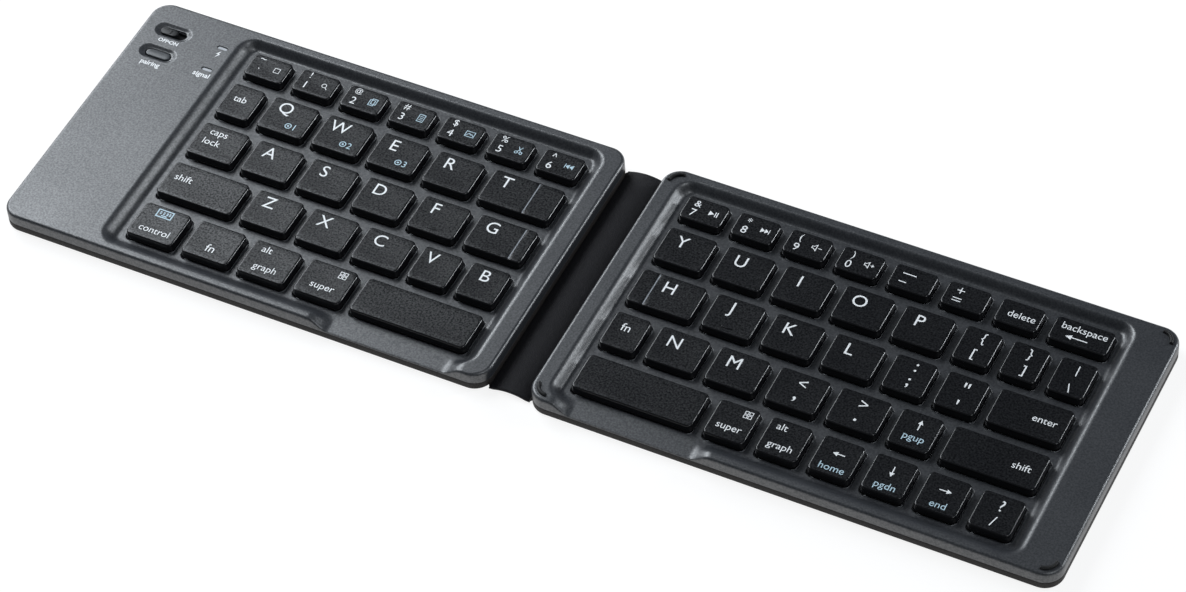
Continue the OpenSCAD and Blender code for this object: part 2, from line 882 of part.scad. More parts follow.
module punctuation_keys() {
  right_keys(1, [5:7]);
  right_keys(2, [4, 5]);
  right_keys(3, [3, 4]);
  right_keys(4, [6]);
}
module right_modifier_keys() {
  right_keys(3, [0, 6]);
  right_keys(4, [1, 2]);
}
module arrow_keys() {
  right_keys(3, [5]);
  right_keys(4, [3:5]);
}

left_leather();
left_case();
left_frame();
left_key_plate();
left_dome_sheet();
battery();
circuit_board();
usb_socket();
power_slider();
board_switches();
pairing_button();
light_guides();
left_magnets();
left_screws();
spine_leather();
spine_lining();
spine_cable();
right_leather();
right_case();
right_frame();
right_key_plate();
right_dome_sheet();
corner_bumpers();
right_magnets();
right_screws();
key_q();
key_w();
key_e();
key_r();
key_t();
key_a();
key_s();
key_d_letter();
key_f();
key_g();
key_z();
key_x_letter();
key_c();
key_v();
key_b();
left_space_key();
left_number_keys();
left_side_keys();
key_y();
key_u();
key_i();
key_o();
key_p();
key_h();
key_j();
key_k();
key_l();
key_n();
key_m();
right_space_key();
enter_key();
right_number_keys();
punctuation_keys();
right_modifier_keys();
arrow_keys();
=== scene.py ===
"""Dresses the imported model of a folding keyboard: frames, keycaps, legends, leather and more."""
import math

import bmesh
import bpy
import numpy as np
from mathutils import Matrix, Vector
from mathutils.geometry import delaunay_2d_cdt


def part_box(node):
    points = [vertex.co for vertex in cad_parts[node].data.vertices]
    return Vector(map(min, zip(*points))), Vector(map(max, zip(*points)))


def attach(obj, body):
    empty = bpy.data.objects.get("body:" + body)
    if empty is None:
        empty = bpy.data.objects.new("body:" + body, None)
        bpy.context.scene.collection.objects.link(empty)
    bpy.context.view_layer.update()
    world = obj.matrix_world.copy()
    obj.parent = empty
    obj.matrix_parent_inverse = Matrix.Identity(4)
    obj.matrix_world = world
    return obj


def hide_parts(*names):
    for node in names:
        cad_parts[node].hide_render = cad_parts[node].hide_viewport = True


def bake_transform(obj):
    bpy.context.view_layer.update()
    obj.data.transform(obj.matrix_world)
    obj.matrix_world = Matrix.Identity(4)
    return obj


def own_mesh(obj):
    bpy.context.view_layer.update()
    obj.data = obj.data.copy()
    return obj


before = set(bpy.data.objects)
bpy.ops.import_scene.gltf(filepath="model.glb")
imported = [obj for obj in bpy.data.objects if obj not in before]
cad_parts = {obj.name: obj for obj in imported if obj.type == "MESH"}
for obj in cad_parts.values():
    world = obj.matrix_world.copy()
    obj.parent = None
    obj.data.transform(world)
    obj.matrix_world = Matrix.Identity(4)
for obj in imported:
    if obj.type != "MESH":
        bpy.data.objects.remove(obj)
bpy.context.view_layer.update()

bl_info = {
    "name": "Folding keyboard",
    "version": (1, 0, 0),
    "blender": (4, 5, 0),
    "location": "View3D > Sidebar > Keyboard",
    "description": "Models the visible pieces of a folding keyboard on its packed solids",
    "category": "Add Mesh",
}

MM = 0.001


# ---- Sizes and colours a user would change -------------------------------


def length(name, text, value, most=50.0):
    """A size property in metres whose default is given in millimetres."""
    return bpy.props.FloatProperty(
        name=name, description=text, default=value * MM, max=most * MM, precision=5,
        min=min(0.0, math.copysign(most, value)) * MM, subtype="DISTANCE", unit="LENGTH",
    )


def colour(name, text, code):
    """A colour property as an sRGB hex value."""
    return bpy.props.StringProperty(name=name, description=text, default=code)


class FrameSizes(bpy.types.PropertyGroup):
    """Sizes and places of the two moulded frames."""

    corner: length("Corner", "Radius of the outer corners", 6.0)
    rim_round: length("Rim rounding", "Radius of the outer top edge", 1.1)
    left_margin: length("Left margin", "Width of the left rim beside the keys", 31.9)
    right_margin: length("Right margin", "Width of the right half's outer rim", 11.8)
    well_side: length("Well side", "Left half's rim beside the spine", 5.05)
    well_side_right: length("Right well side", "Right half's rim beside the spine", 4.5)
    well_front: length("Well front", "Depth of the rim in front of the keys", 1.85)
    well_back: length("Well back", "Depth of the rim behind the keys", 2.6)
    well_corner: length("Well corner", "Corner radius of the well at the rim", 6.4)
    well_slope: length("Well slope", "Run of the well wall at the front and left end", 5.2)
    run_left: length("Left inner run", "Run of the left well's wall by the spine", 4.8)
    run_right: length("Right inner run", "Run of the right well's wall by the spine", 4.5)
    run_end: length("Right end run", "Run of the right well's outer wall", 4.9)
    run_back: length("Back run", "Run of the well wall behind the keys", 3.2)
    deck_drop: length("Deck drop", "Depth of the deck below the rim", 2.8)
    deck_t: length("Deck thickness", "Thickness of the deck between the keys", 0.9)
    window_gap: length("Window gap", "Clearance round a keycap", 0.35)
    window_corner: length("Window corner", "Corner radius of a key window", 1.9)
    window_round: length("Window rounding", "Rounded edge of a key window", 0.14)
    scoop_w: length("Scoop width", "Width of the level part of a thumb scoop", 37.5)
    scoop_side: length("Scoop side", "Distance of that part from the spine side", 14.4)
    scoop_fall: length("Scoop fall", "Drop of a scoop towards the front", 0.37)
    scoop_run: length("Scoop run", "Run of the curved ends of a scoop", 7.0)
    control_x: length("Control place", "Slider and button, from left to right", -160.42, 200.0)
    light_x: length("Light place", "The two lights, from left to right", -142.82, 200.0)
    power_y: length("Power place", "Place of the slider from front to back", 38.0)
    button_y: length("Button place", "Place of the button from front to back", 28.1)
    dish_w: length("Dish width", "Width of a control recess", 13.0)
    dish_d: length("Dish depth", "Front to back size of a control recess", 6.0)
    dish_h: length("Dish height", "Depth of a control recess", 1.3)
    bowl_h: length("Bowl height", "Depth of the sloping part of a recess", 0.75)
    slot_w: length("Slot width", "Width of the slot at the bottom of a recess", 9.2)
    slot_d: length("Slot depth", "Front to back size of that slot", 3.6)
    light_w: length("Light width", "Width of a light window", 3.4)
    light_d: length("Light depth", "Front to back size of a light window", 1.1)
    bay_wall: length("Bay wall", "Wall round the electronics bay", 2.6)
    bay_rib: length("Bay rib", "Distance between the bay and the well", 0.6)
    bay_roof: length("Bay roof", "Thickness of the rim above the bay", 1.1)
    inlet_y: length("Inlet place", "Place of the charging inlet from front to back", 15.0)
    bumper_r: length("Bumper radius", "Middle radius of a corner bumper", 3.8)


class KeySizes(bpy.types.PropertyGroup):
    """Sizes of the keycaps and their legends."""

    height: length("Height", "Height of a cap", 3.0)
    edge: length("Edge", "From the foot of the skirt to the flat top face", 0.75)
    round: length("Rounding", "Radius of the edge round the top face", 0.55)
    corner: length("Corner", "Corner radius of the top face", 0.95)
    dish: length("Dish", "Depth of the hollow in a key's top", 0.10)
    wall: length("Wall", "Wall of a cap", 1.0)
    letter_w: length("Letter width", "Face width of a letter key, up to a long key's groove", 14.7)
    groove: length("Groove", "Width of the groove on the long letter keys", 0.35)
    groove_h: length("Groove depth", "Depth of that groove", 0.12)
    ink: length("Ink", "Height of a printed legend above the cap", 0.02)


class Finishes(bpy.types.PropertyGroup):
    """Colours of the visible materials."""

    frame_hex: colour("Frame", "Moulded frames", "#2d2f33")
    key_hex: colour("Keys", "Keycaps", "#0d0e11")
    leather_hex: colour("Leather", "Leather-like skin", "#2e2a28")
    spine_hex: colour("Spine", "Soft spine strip", "#1d1c1f")
    ink_hex: colour("Ink", "Main legends", "#f4f6f7")
    second_hex: colour("Second ink", "Second legends", "#bcd6e2")


# ---- Outlines ------------------------------------------------------------


STRAIGHT = 60 * MM  # longest undivided side of an outline


def rounded_loop(x0, y0, x1, y1, r, step=6 * MM, corner=8):
    """Closed anticlockwise rounded rectangle: points and outward normals.

    Each corner is an arc of radius r about its centre; each side is straight
    and divided so that no piece is longer than step.
    """
    points, normals = [], []
    centres = [(x1 - r, y0 + r, -90), (x1 - r, y1 - r, 0), (x0 + r, y1 - r, 90),
               (x0 + r, y0 + r, 180)]
    for k, (cx, cy, start) in enumerate(centres):
        a = np.radians(start + np.linspace(0, 90, corner + 1))
        n = np.stack([np.cos(a), np.sin(a)], 1)
        p = np.array([cx, cy]) + r * n
        nx, ny, after = centres[(k + 1) % 4]
        b = math.radians(after)
        q = np.array([nx + r * math.cos(b), ny + r * math.sin(b)])
        side = np.linalg.norm(q - p[-1])
        count = max(int(math.ceil(side / step)), 1)
        t = np.linspace(0, 1, count + 1)[1:-1, None]
        points += [p, p[-1] * (1 - t) + q * t]
        normals += [n, np.repeat(n[-1:], len(t), 0)]
    return np.concatenate(points), np.concatenate(normals)


def stadium_loop(cx, cy, w, d, corner=10):
    """A slot with round ends: a rounded rectangle whose radius is half its width."""
    x, y, r = w / 2, d / 2, d / 2 - 1e-6
    return rounded_loop(cx - x, cy - y, cx + x, cy + y, r, STRAIGHT, corner)


def grown(loop, offset):
    """The points of a loop moved along its normals."""
    return loop[0] + offset * loop[1]


def top_round(r, z, degrees=(22, 45, 67, 90)):
    """Profile rows of a rounded upper edge: (r (cos a - 1), z - r (1 - sin a))."""
    return [(r * (math.cos(a) - 1), z - r * (1 - math.sin(a))) for a in np.radians(degrees)]


def between(points, loops):
    """True for points inside an odd number of nested loops, by the loop edges to their right."""
    x, y = points.T[:, :, None]
    count = np.zeros(len(points), int)
    for p in loops:
        q = np.roll(p, -1, 0)
        rise = q[:, 1] - p[:, 1]
        at = p[:, 0] + (y - p[:, 1]) * (q[:, 0] - p[:, 0]) / np.where(rise == 0, 1, rise)
        count += (((p[:, 1] > y) != (q[:, 1] > y)) & (x < at)).sum(1)
    return count % 2 == 1


# ---- Meshes --------------------------------------------------------------


class Shell:
    """Collects vertex arrays and faces of one piece."""

    def __init__(self):
        self.points, self.faces, self.count, self.marks = [], [], 0, []

    def add(self, points, faces):
        """Adds points (n, 3) and faces, as an integer array or a list of rows."""
        rows = faces.tolist() if isinstance(faces, np.ndarray) else faces
        self.faces += [[i + self.count for i in row] for row in rows]
        self.points.append(np.asarray(points, float).reshape(-1, 3))
        self.count += len(self.points[-1])

    def carry(self, loop, profile, flip=False, move=None, drop=None):
        """Carries (offset, height) rows along a closed loop: point = loop + offset * normal."""
        p, n = loop
        profile = np.asarray(profile, float)
        xy = p[None] + profile[:, 0, None, None] * n[None]
        z = np.repeat(profile[:, 1, None], len(p), 1)[..., None]
        grid = np.concatenate([xy, z], 2)
        faces = quads(len(profile), len(p), wrap=True, flip=flip)
        if drop is not None:
            faces = faces[~drop.ravel()]
        self.add(move(grid) if move else grid, faces)

    def block(self, loop, profile):
        """Carries a profile along a loop and closes its first and last row."""
        self.carry(loop, profile)
        (first, low), (last, high) = profile[0], profile[-1]
        self.cap(grown(loop, first), low, down=True)
        self.cap(grown(loop, last), high)

    def sunk(self, other, x):
        """Adds another shell laid on the plane x: its width along Y, its height along -X."""
        p = other.arrays()
        points = np.stack([x - p[:, 2], p[:, 0], p[:, 1]], 1)
        self.add(points, [face[::-1] for face in other.faces])

    def fill(self, loops, height, down=False, grid=None):
        """Fills the flat area between nested loops with triangles; height gives z.

        Points of grid that lie in the area and 0.45 mm or more from its loops are used as well.
        """
        edges, at = [], 0
        for p in loops:
            i = np.arange(len(p))
            edges += np.stack([at + i, at + (i + 1) % len(p)], 1).tolist()
            at += len(p)
        points = np.concatenate(loops)
        if grid is not None:
            away = np.linalg.norm(grid[:, None] - points[None], axis=2).min(1)
            points = np.concatenate([points, grid[between(grid, loops) & (away > 0.45 * MM)]])
        out = delaunay_2d_cdt([Vector(p) for p in (points / MM).tolist()], edges, [], 0, 1e-5)
        flat = np.array([tuple(v) for v in out[0]]) * MM
        faces = np.array([f for f in out[2] if len(f) == 3])
        faces = faces[between(flat[faces].mean(1), loops)]
        a, b, c = (flat[faces[:, k]] for k in range(3))
        wrong = (b - a)[:, 0] * (c - a)[:, 1] - (b - a)[:, 1] * (c - a)[:, 0] < 0
        faces[wrong] = faces[wrong][:, ::-1]
        if down:
            faces = faces[:, ::-1]
        z = height(flat) if callable(height) else np.full(len(flat), height)
        self.add(np.column_stack([flat, z]), faces)

    def cap(self, loop, height, down=False):
        """Closes a loop with one flat face."""
        order = list(range(len(loop)))
        points = np.column_stack([loop, np.full(len(loop), height)])
        self.add(points, [order[::-1] if down else order])

    def arrays(self):
        """All points of the piece as one array."""
        return np.concatenate(self.points)


def quads(rows, cols, wrap=False, flip=False):
    """Faces of a grid stored row by row; wrap joins the last column to the first."""
    r, c = np.meshgrid(np.arange(rows - 1), np.arange(cols if wrap else cols - 1), indexing="ij")
    here, d = r * cols, (c + 1) % cols
    f = np.stack([here + c, here + d, here + cols + d, here + cols + c], -1).reshape(-1, 4)
    return f[:, ::-1] if flip else f


def build(name, shell, materials, merge=True):
    """Makes the mesh object of a shell, joins its seams, and shades it smooth below 35 degrees."""
    mesh = bpy.data.meshes.new(name)
    mesh.from_pydata(shell.arrays().tolist(), [], shell.faces)
    for material in materials:
        mesh.materials.append(material)
    if shell.marks:
        mesh.polygons.foreach_set("material_index", np.array(shell.marks, dtype=np.int32))
    if merge:
        work = bmesh.new()
        work.from_mesh(mesh)
        bmesh.ops.remove_doubles(work, verts=work.verts, dist=2e-6)
        work.to_mesh(mesh)
        work.free()
    mesh.polygons.foreach_set("use_smooth", np.ones(len(mesh.polygons), bool))
    mesh.set_sharp_from_angle(angle=math.radians(35))
    mesh.update()
    piece = bpy.data.objects.new(name, mesh)
    bpy.context.scene.collection.objects.link(piece)
    return piece


def solids(node):
    """Boxes (x0, y0, z0, x1, y1, z1) of a node's solids, rows from the back, left to right.

    Triangles that share a corner position get the lowest label among them until nothing changes.
    """
    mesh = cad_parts[node].data
    co = np.empty(len(mesh.vertices) * 3)
    mesh.vertices.foreach_get("co", co)
    co = co.reshape(-1, 3)
    tri = np.array([p.vertices[:] for p in mesh.polygons])
    cells = np.round(co / (0.001 * MM)).astype(np.int64)
    same = np.unique(cells, axis=0, return_inverse=True)[1].ravel()
    tri = same[tri]
    label = np.arange(same.max() + 1)
    while True:
        low = label[tri].min(1)
        new = label.copy()
        for k in range(3):
            np.minimum.at(new, tri[:, k], low)
        if (new == label).all():
            break
        label = new
    mark = label[same]
    boxes = [np.r_[co[mark == m].min(0), co[mark == m].max(0)] for m in np.unique(mark)]
    return sorted(boxes, key=lambda b: (-round((b[1] + b[4]) / MM / 4), b[0]))


def put(name, shell, kinds, body, node=None, merge=True):
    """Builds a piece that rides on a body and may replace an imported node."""
    piece = build(name, shell, [finish_of(kind) for kind in kinds], merge)
    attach(piece, body)
    if node:
        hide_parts(node)
    return piece


# ---- Materials -----------------------------------------------------------


def linear(code, alpha=1.0):
    """An sRGB hex value as linear red, green, blue and alpha."""
    c = np.array([int(code[i : i + 2], 16) for i in (1, 3, 5)]) / 255
    c = np.where(c <= 0.04045, c / 12.92, ((c + 0.055) / 1.055) ** 2.4)
    return (*c.tolist(), alpha)


def add(tree, kind, inputs=None, **settings):
    """Adds one node, sets its properties and sockets, and links what is given as an output."""
    node = tree.nodes.new(kind)
    for key, value in settings.items():
        setattr(node, key, value)
    for key, value in (inputs or {}).items():
        if isinstance(value, bpy.types.NodeSocket):
            tree.links.new(value, node.inputs[key])
        else:
            node.inputs[key].default_value = value
    return node


def new_material(name):
    """An empty node material with its output, its shader and Object coordinates."""
    material = bpy.data.materials.get(name) or bpy.data.materials.new(name)
    material.use_nodes = True
    tree = material.node_tree
    tree.nodes.clear()
    shader = tree.nodes.new("ShaderNodeBsdfPrincipled")
    add(tree, "ShaderNodeOutputMaterial", {"Surface": shader.outputs[0]})
    coords = tree.nodes.new("ShaderNodeTexCoord").outputs["Object"]
    return material, tree, shader, coords


def tones(tree, fac, dark, light, ends=(0.0, 1.0)):
    """A colour ramp between two linear colours, placed at the given ends."""
    node = add(tree, "ShaderNodeValToRGB", {"Fac": fac})
    for element, place, code in zip(node.color_ramp.elements, ends, (dark, light)):
        element.position, element.color = place, code
    return node.outputs["Color"]


def scaled(code, factor):
    """A linear colour made lighter or darker, up to white."""
    return [min(v * factor, 1) for v in linear(code)[:3]] + [1.0]


def grained(name, code, grain, depth, roughness, spread=0.12, painted_sparkle=0.0, specular=0.5, coat=0.0,
            glint=0.0):
    """Moulded plastic: fine spark-eroded grain in bump and colour, slightly cloudy in the gloss.

    grain is the size of one speck in metres, depth the height of the bump in metres; sparkle
    makes the light specks lighter still, as painted glints; glint is how much the strength of the
    reflection varies from speck to speck, as a share.
    """
    material, tree, shader, coords = new_material(name)
    fine = add(tree, "ShaderNodeTexNoise", {
        "Vector": coords, "Scale": 1 / grain, "Detail": 2.0, "Roughness": 0.6,
    }).outputs["Fac"]
    cloud = add(tree, "ShaderNodeTexNoise", {
        "Vector": coords, "Scale": 1 / (18 * MM), "Detail": 3.0,
    })
    # Light specks: the grain's own tone, made lighter still by sparkle as painted glints.
    dark, light = scaled(code, 1 - spread), scaled(code, 1 + painted_sparkle * 3 + spread)
    tone = tones(tree, fine, dark, light, (0.35, 0.72))
    gloss = add(tree, "ShaderNodeMapRange", {
        "Value": cloud.outputs["Fac"], "From Min": 0.3, "From Max": 0.7,
        "To Min": roughness - 0.03, "To Max": roughness + 0.03,
    })
    bump = add(tree, "ShaderNodeBump", {"Height": fine, "Distance": depth, "Strength": 1.0})
    tree.links.new(tone, shader.inputs["Base Color"])
    tree.links.new(gloss.outputs["Result"], shader.inputs["Roughness"])
    tree.links.new(bump.outputs["Normal"], shader.inputs["Normal"])
    shader.inputs["Specular IOR Level"].default_value = specular
    if glint:
        shine = add(tree, "ShaderNodeMapRange", {
            "Value": fine, "From Min": 0.35, "From Max": 0.65,
            "To Min": specular * (1 - glint), "To Max": specular * (1 + glint),
        })
        tree.links.new(shine.outputs["Result"], shader.inputs["Specular IOR Level"])
    shader.inputs["Coat Weight"].default_value = coat
    shader.inputs["Coat Roughness"].default_value = 0.16
    return material


def leather(name, code, pebble, roughness, specular=0.3):
    """Leather-like polyurethane skin: small pebbles, with painted shade in the creases between
    them.
    """
    material, tree, shader, coords = new_material(name)
    cells = add(tree, "ShaderNodeTexVoronoi", {
        "Vector": coords, "Scale": 1 / pebble, "Randomness": 0.9,
    }, feature="DISTANCE_TO_EDGE")
    fine = add(tree, "ShaderNodeTexNoise", {"Vector": coords, "Scale": 2.2 / pebble, "Detail": 4.0})
    crease_and_shade = add(tree, "ShaderNodeMapRange", {"Value": cells.outputs["Distance"], "From Max": 0.22})
    crease_and_shade = crease_and_shade.outputs["Result"]
    height = add(tree, "ShaderNodeMath", {0: crease_and_shade, 1: fine.outputs["Fac"]}, operation="ADD")
    bump = add(tree, "ShaderNodeBump", {
        "Height": height.outputs[0], "Distance": 0.05 * MM, "Strength": 0.8,
    })
    # Painted shade: the colour falls to 0.62 of the skin's in the creases and rises to 1.08 on the
    # pebbles; the same mask also shapes the bump.
    tone = tones(tree, crease_and_shade, scaled(code, 0.62), scaled(code, 1.08))
    tree.links.new(tone, shader.inputs["Base Color"])
    tree.links.new(bump.outputs["Normal"], shader.inputs["Normal"])
    shader.inputs["Roughness"].default_value = roughness
    shader.inputs["Specular IOR Level"].default_value = specular
    return material


def metal(name, code, roughness, brush, along=(1.0, 0.05, 1.0)):
    """Rolled or stamped metal: streaks of the roll in gloss and height."""
    material, tree, shader, coords = new_material(name)
    turned = add(tree, "ShaderNodeMapping", {"Vector": coords, "Scale": along}).outputs[0]
    streak = add(tree, "ShaderNodeTexNoise", {"Vector": turned, "Scale": 1 / brush, "Detail": 3.0})
    streak = streak.outputs["Fac"]
    gloss = add(tree, "ShaderNodeMapRange", {
        "Value": streak, "To Min": roughness - 0.08, "To Max": roughness + 0.08,
    })
    bump = add(tree, "ShaderNodeBump", {"Height": streak, "Distance": 0.01 * MM})
    tree.links.new(gloss.outputs["Result"], shader.inputs["Roughness"])
    tree.links.new(bump.outputs["Normal"], shader.inputs["Normal"])
    shader.inputs["Base Color"].default_value = linear(code)
    shader.inputs["Metallic"].default_value = 1.0
    return material


def ink(name, code):
    """Screen-printed ink: an even colour with a slightly uneven film."""
    material, tree, shader, coords = new_material(name)
    film = add(tree, "ShaderNodeTexNoise", {
        "Vector": coords, "Scale": 1 / (0.3 * MM), "Detail": 1.0,
    })
    tone = tones(tree, film.outputs["Fac"], scaled(code, 0.93), linear(code))
    tree.links.new(tone, shader.inputs["Base Color"])
    shader.inputs["Roughness"].default_value = 0.55
    return material


def finish_of(kind):
    """The material of that kind, made when it is first asked for."""
    colours = bpy.context.scene.keyboard_finishes
    if kind in finish_of.made:
        return finish_of.made[kind]
    # Rows: maker, name, colour, then the maker's own values, with grain and depth in millimetres.
    makers = {
        # Moulded ABS with a spark-eroded satin grain: soft broad highlights with fine specks. The
        # real grain of 0.1 mm or less would be too fine to see, so it is drawn at 0.6 mm.
        "frame": (grained, "Satin ABS frame", colours.frame_hex, 0.6, 0.004, 0.4, 0.14, 0.0, 1.0,
                  0.06, 0.3),
        # Moulded ABS keycaps with a matt grain of the same size: specks catch the light, by a
        # reflection that varies from speck to speck and by painted glints, lighter specks in the
        # colour.
        "key": (grained, "Matt ABS keycap", colours.key_hex, 0.6, 0.012, 0.33, 0.25, 0.1, 0.4,
                0.0, 0.7),
        # The polished skirt of the same cap: a dark gloss band below the matt top.
        "skirt": (grained, "Polished ABS keycap skirt", "#0b0b0e", 0.4, 0.0006, 0.22, 0.05),
        # Skins pressed with a pebble pattern: a dull, soft sheen, and painted shade in the creases.
        "leather": (leather, "Polyurethane leather", colours.leather_hex, 0.7, 0.62),
        "spine": (leather, "Soft spine leather", colours.spine_hex, 0.55, 0.58, 0.2),
        # Printed inks: the brightest flat marks on the dark keys.
        "ink": (ink, "White key ink", colours.ink_hex),
        "second": (ink, "Pale blue key ink", colours.second_hex),
        # A painted highlight: the groove faces get a pale grey that stands for the lit edge of a
        # moulded groove, a thin pale line across the long letter keys.
        "groove": (grained, "Groove edge plastic", "#8d9298", 0.3, 0.01, 0.4),
        # Moulded small parts: dull rubber, a glossier slider, a lighter satin button, milky lights.
        "rubber": (grained, "Moulded rubber", "#0c0c0d", 0.25, 0.015, 0.6, 0.1),
        "control": (grained, "Glossy ABS control", "#17181a", 0.3, 0.006, 0.34, 0.08, 0.0, 0.3),
        "button": (grained, "Satin ABS button", "#3a3d41", 0.3, 0.01, 0.38, 0.08),
        "case": (grained, "Moulded ABS case", "#2b2c2f", 0.5, 0.02, 0.55),
        "light": (grained, "Milky light guide", "#b4b8bc", 0.4, 0.004, 0.3, 0.03),
        # Pieces inside, seen only through gaps: pale domes, green board, amber film, bare metals.
        "silicone": (grained, "Silicone domes", "#c9ccd0", 0.6, 0.01, 0.5, 0.05),
        "board": (grained, "Solder mask laminate", "#1f5a3c", 0.4, 0.005, 0.3, 0.1),
        "film": (grained, "Polyimide film", "#b5742c", 0.5, 0.004, 0.35, 0.06),
        "steel": (metal, "Rolled steel sheet", "#a9acb0", 0.38, 0.4),
        "socket": (metal, "Stamped steel shell", "#b9bbbd", 0.3, 0.3),
        "nickel": (metal, "Nickel plating", "#b5b7b9", 0.22, 0.3),
        "zinc": (metal, "Zinc plated screw", "#8f9295", 0.34, 0.2),
        "foil": (metal, "Laminated battery foil", "#b8babd", 0.45, 1.2, (1.0, 1.0, 1.0)),
    }
    maker, name, code, *rest = makers[kind]
    for k in {grained: (0, 1), leather: (0,), metal: (1,), ink: ()}[maker]:  # lengths
        rest[k] *= MM
    finish_of.made[kind] = maker(name, code, *rest)
    return finish_of.made[kind]


finish_of.made = {}


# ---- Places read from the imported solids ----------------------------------


def flat_box(node):
    """x0, y0, x1, y1, z0, z1 of a node."""
    lo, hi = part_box(node)
    return lo[0], lo[1], hi[0], hi[1], lo[2], hi[2]


KEY_NODES = {
    "left": [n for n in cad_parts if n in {
        *("key_" + c for c in "qwertasfgzcvb"), "key_d_letter", "key_x_letter",
        "left_space_key", "left_number_keys", "left_side_keys",
    }],
}
KEY_NODES["right"] = [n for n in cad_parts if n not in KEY_NODES["left"] and (
    n.startswith("key_") or n in {
        "right_space_key", "enter_key", "right_number_keys", "punctuation_keys",
        "right_modifier_keys", "arrow_keys",
    })]


# ---- Frames --------------------------------------------------------------


def soft(t):
    """Smooth step: (1 - cos(pi t)) / 2 for t from 0 to 1, and level outside."""
    return (1 - np.cos(np.pi * np.clip(t, 0, 1))) / 2


def edge_of_hole(shell, loop, high, low, r):
    """Edge and wall of a hole: a quarter round of radius r, then straight down to low.

    Gives the loop that the surface round the hole ends at.
    """
    brim = r + 0.04 * MM
    bend = np.radians([0, 30, 60, 90])
    rows = [(r * (1 - math.sin(a)), high - r * (1 - math.cos(a))) for a in bend]
    shell.carry(loop, [(brim, high)] + rows + [(0.0, low)])
    return grown(loop, brim)


def key_boxes(side):
    """Skirt boxes of every keycap of one half."""
    return [b for node in KEY_NODES[side] for b in solids(node)]


def ring_slot(cx, cy, r0, r1, start, n=12):
    """Closed anticlockwise outline of a quarter ring: outer arc out, inner arc back."""
    a = np.radians(np.linspace(start, start + 90, n))
    out = np.stack([np.cos(a), np.sin(a)], 1)
    return np.concatenate([r1 * out, r0 * out[::-1]]) + [cx, cy]


def corner_spots(box, r):
    """Centres and start angles of the four corner arcs of a rounded box."""
    x0, y0, x1, y1 = box
    return [(x1 - r, y1 - r, 0), (x0 + r, y1 - r, 90), (x0 + r, y0 + r, 180), (x1 - r, y0 + r, 270)]


SEAM = 0.05 * MM  # level strip between a rounded edge and the surface beside it
FINE = 0.5 * MM  # division of the outlines whose height follows a scoop


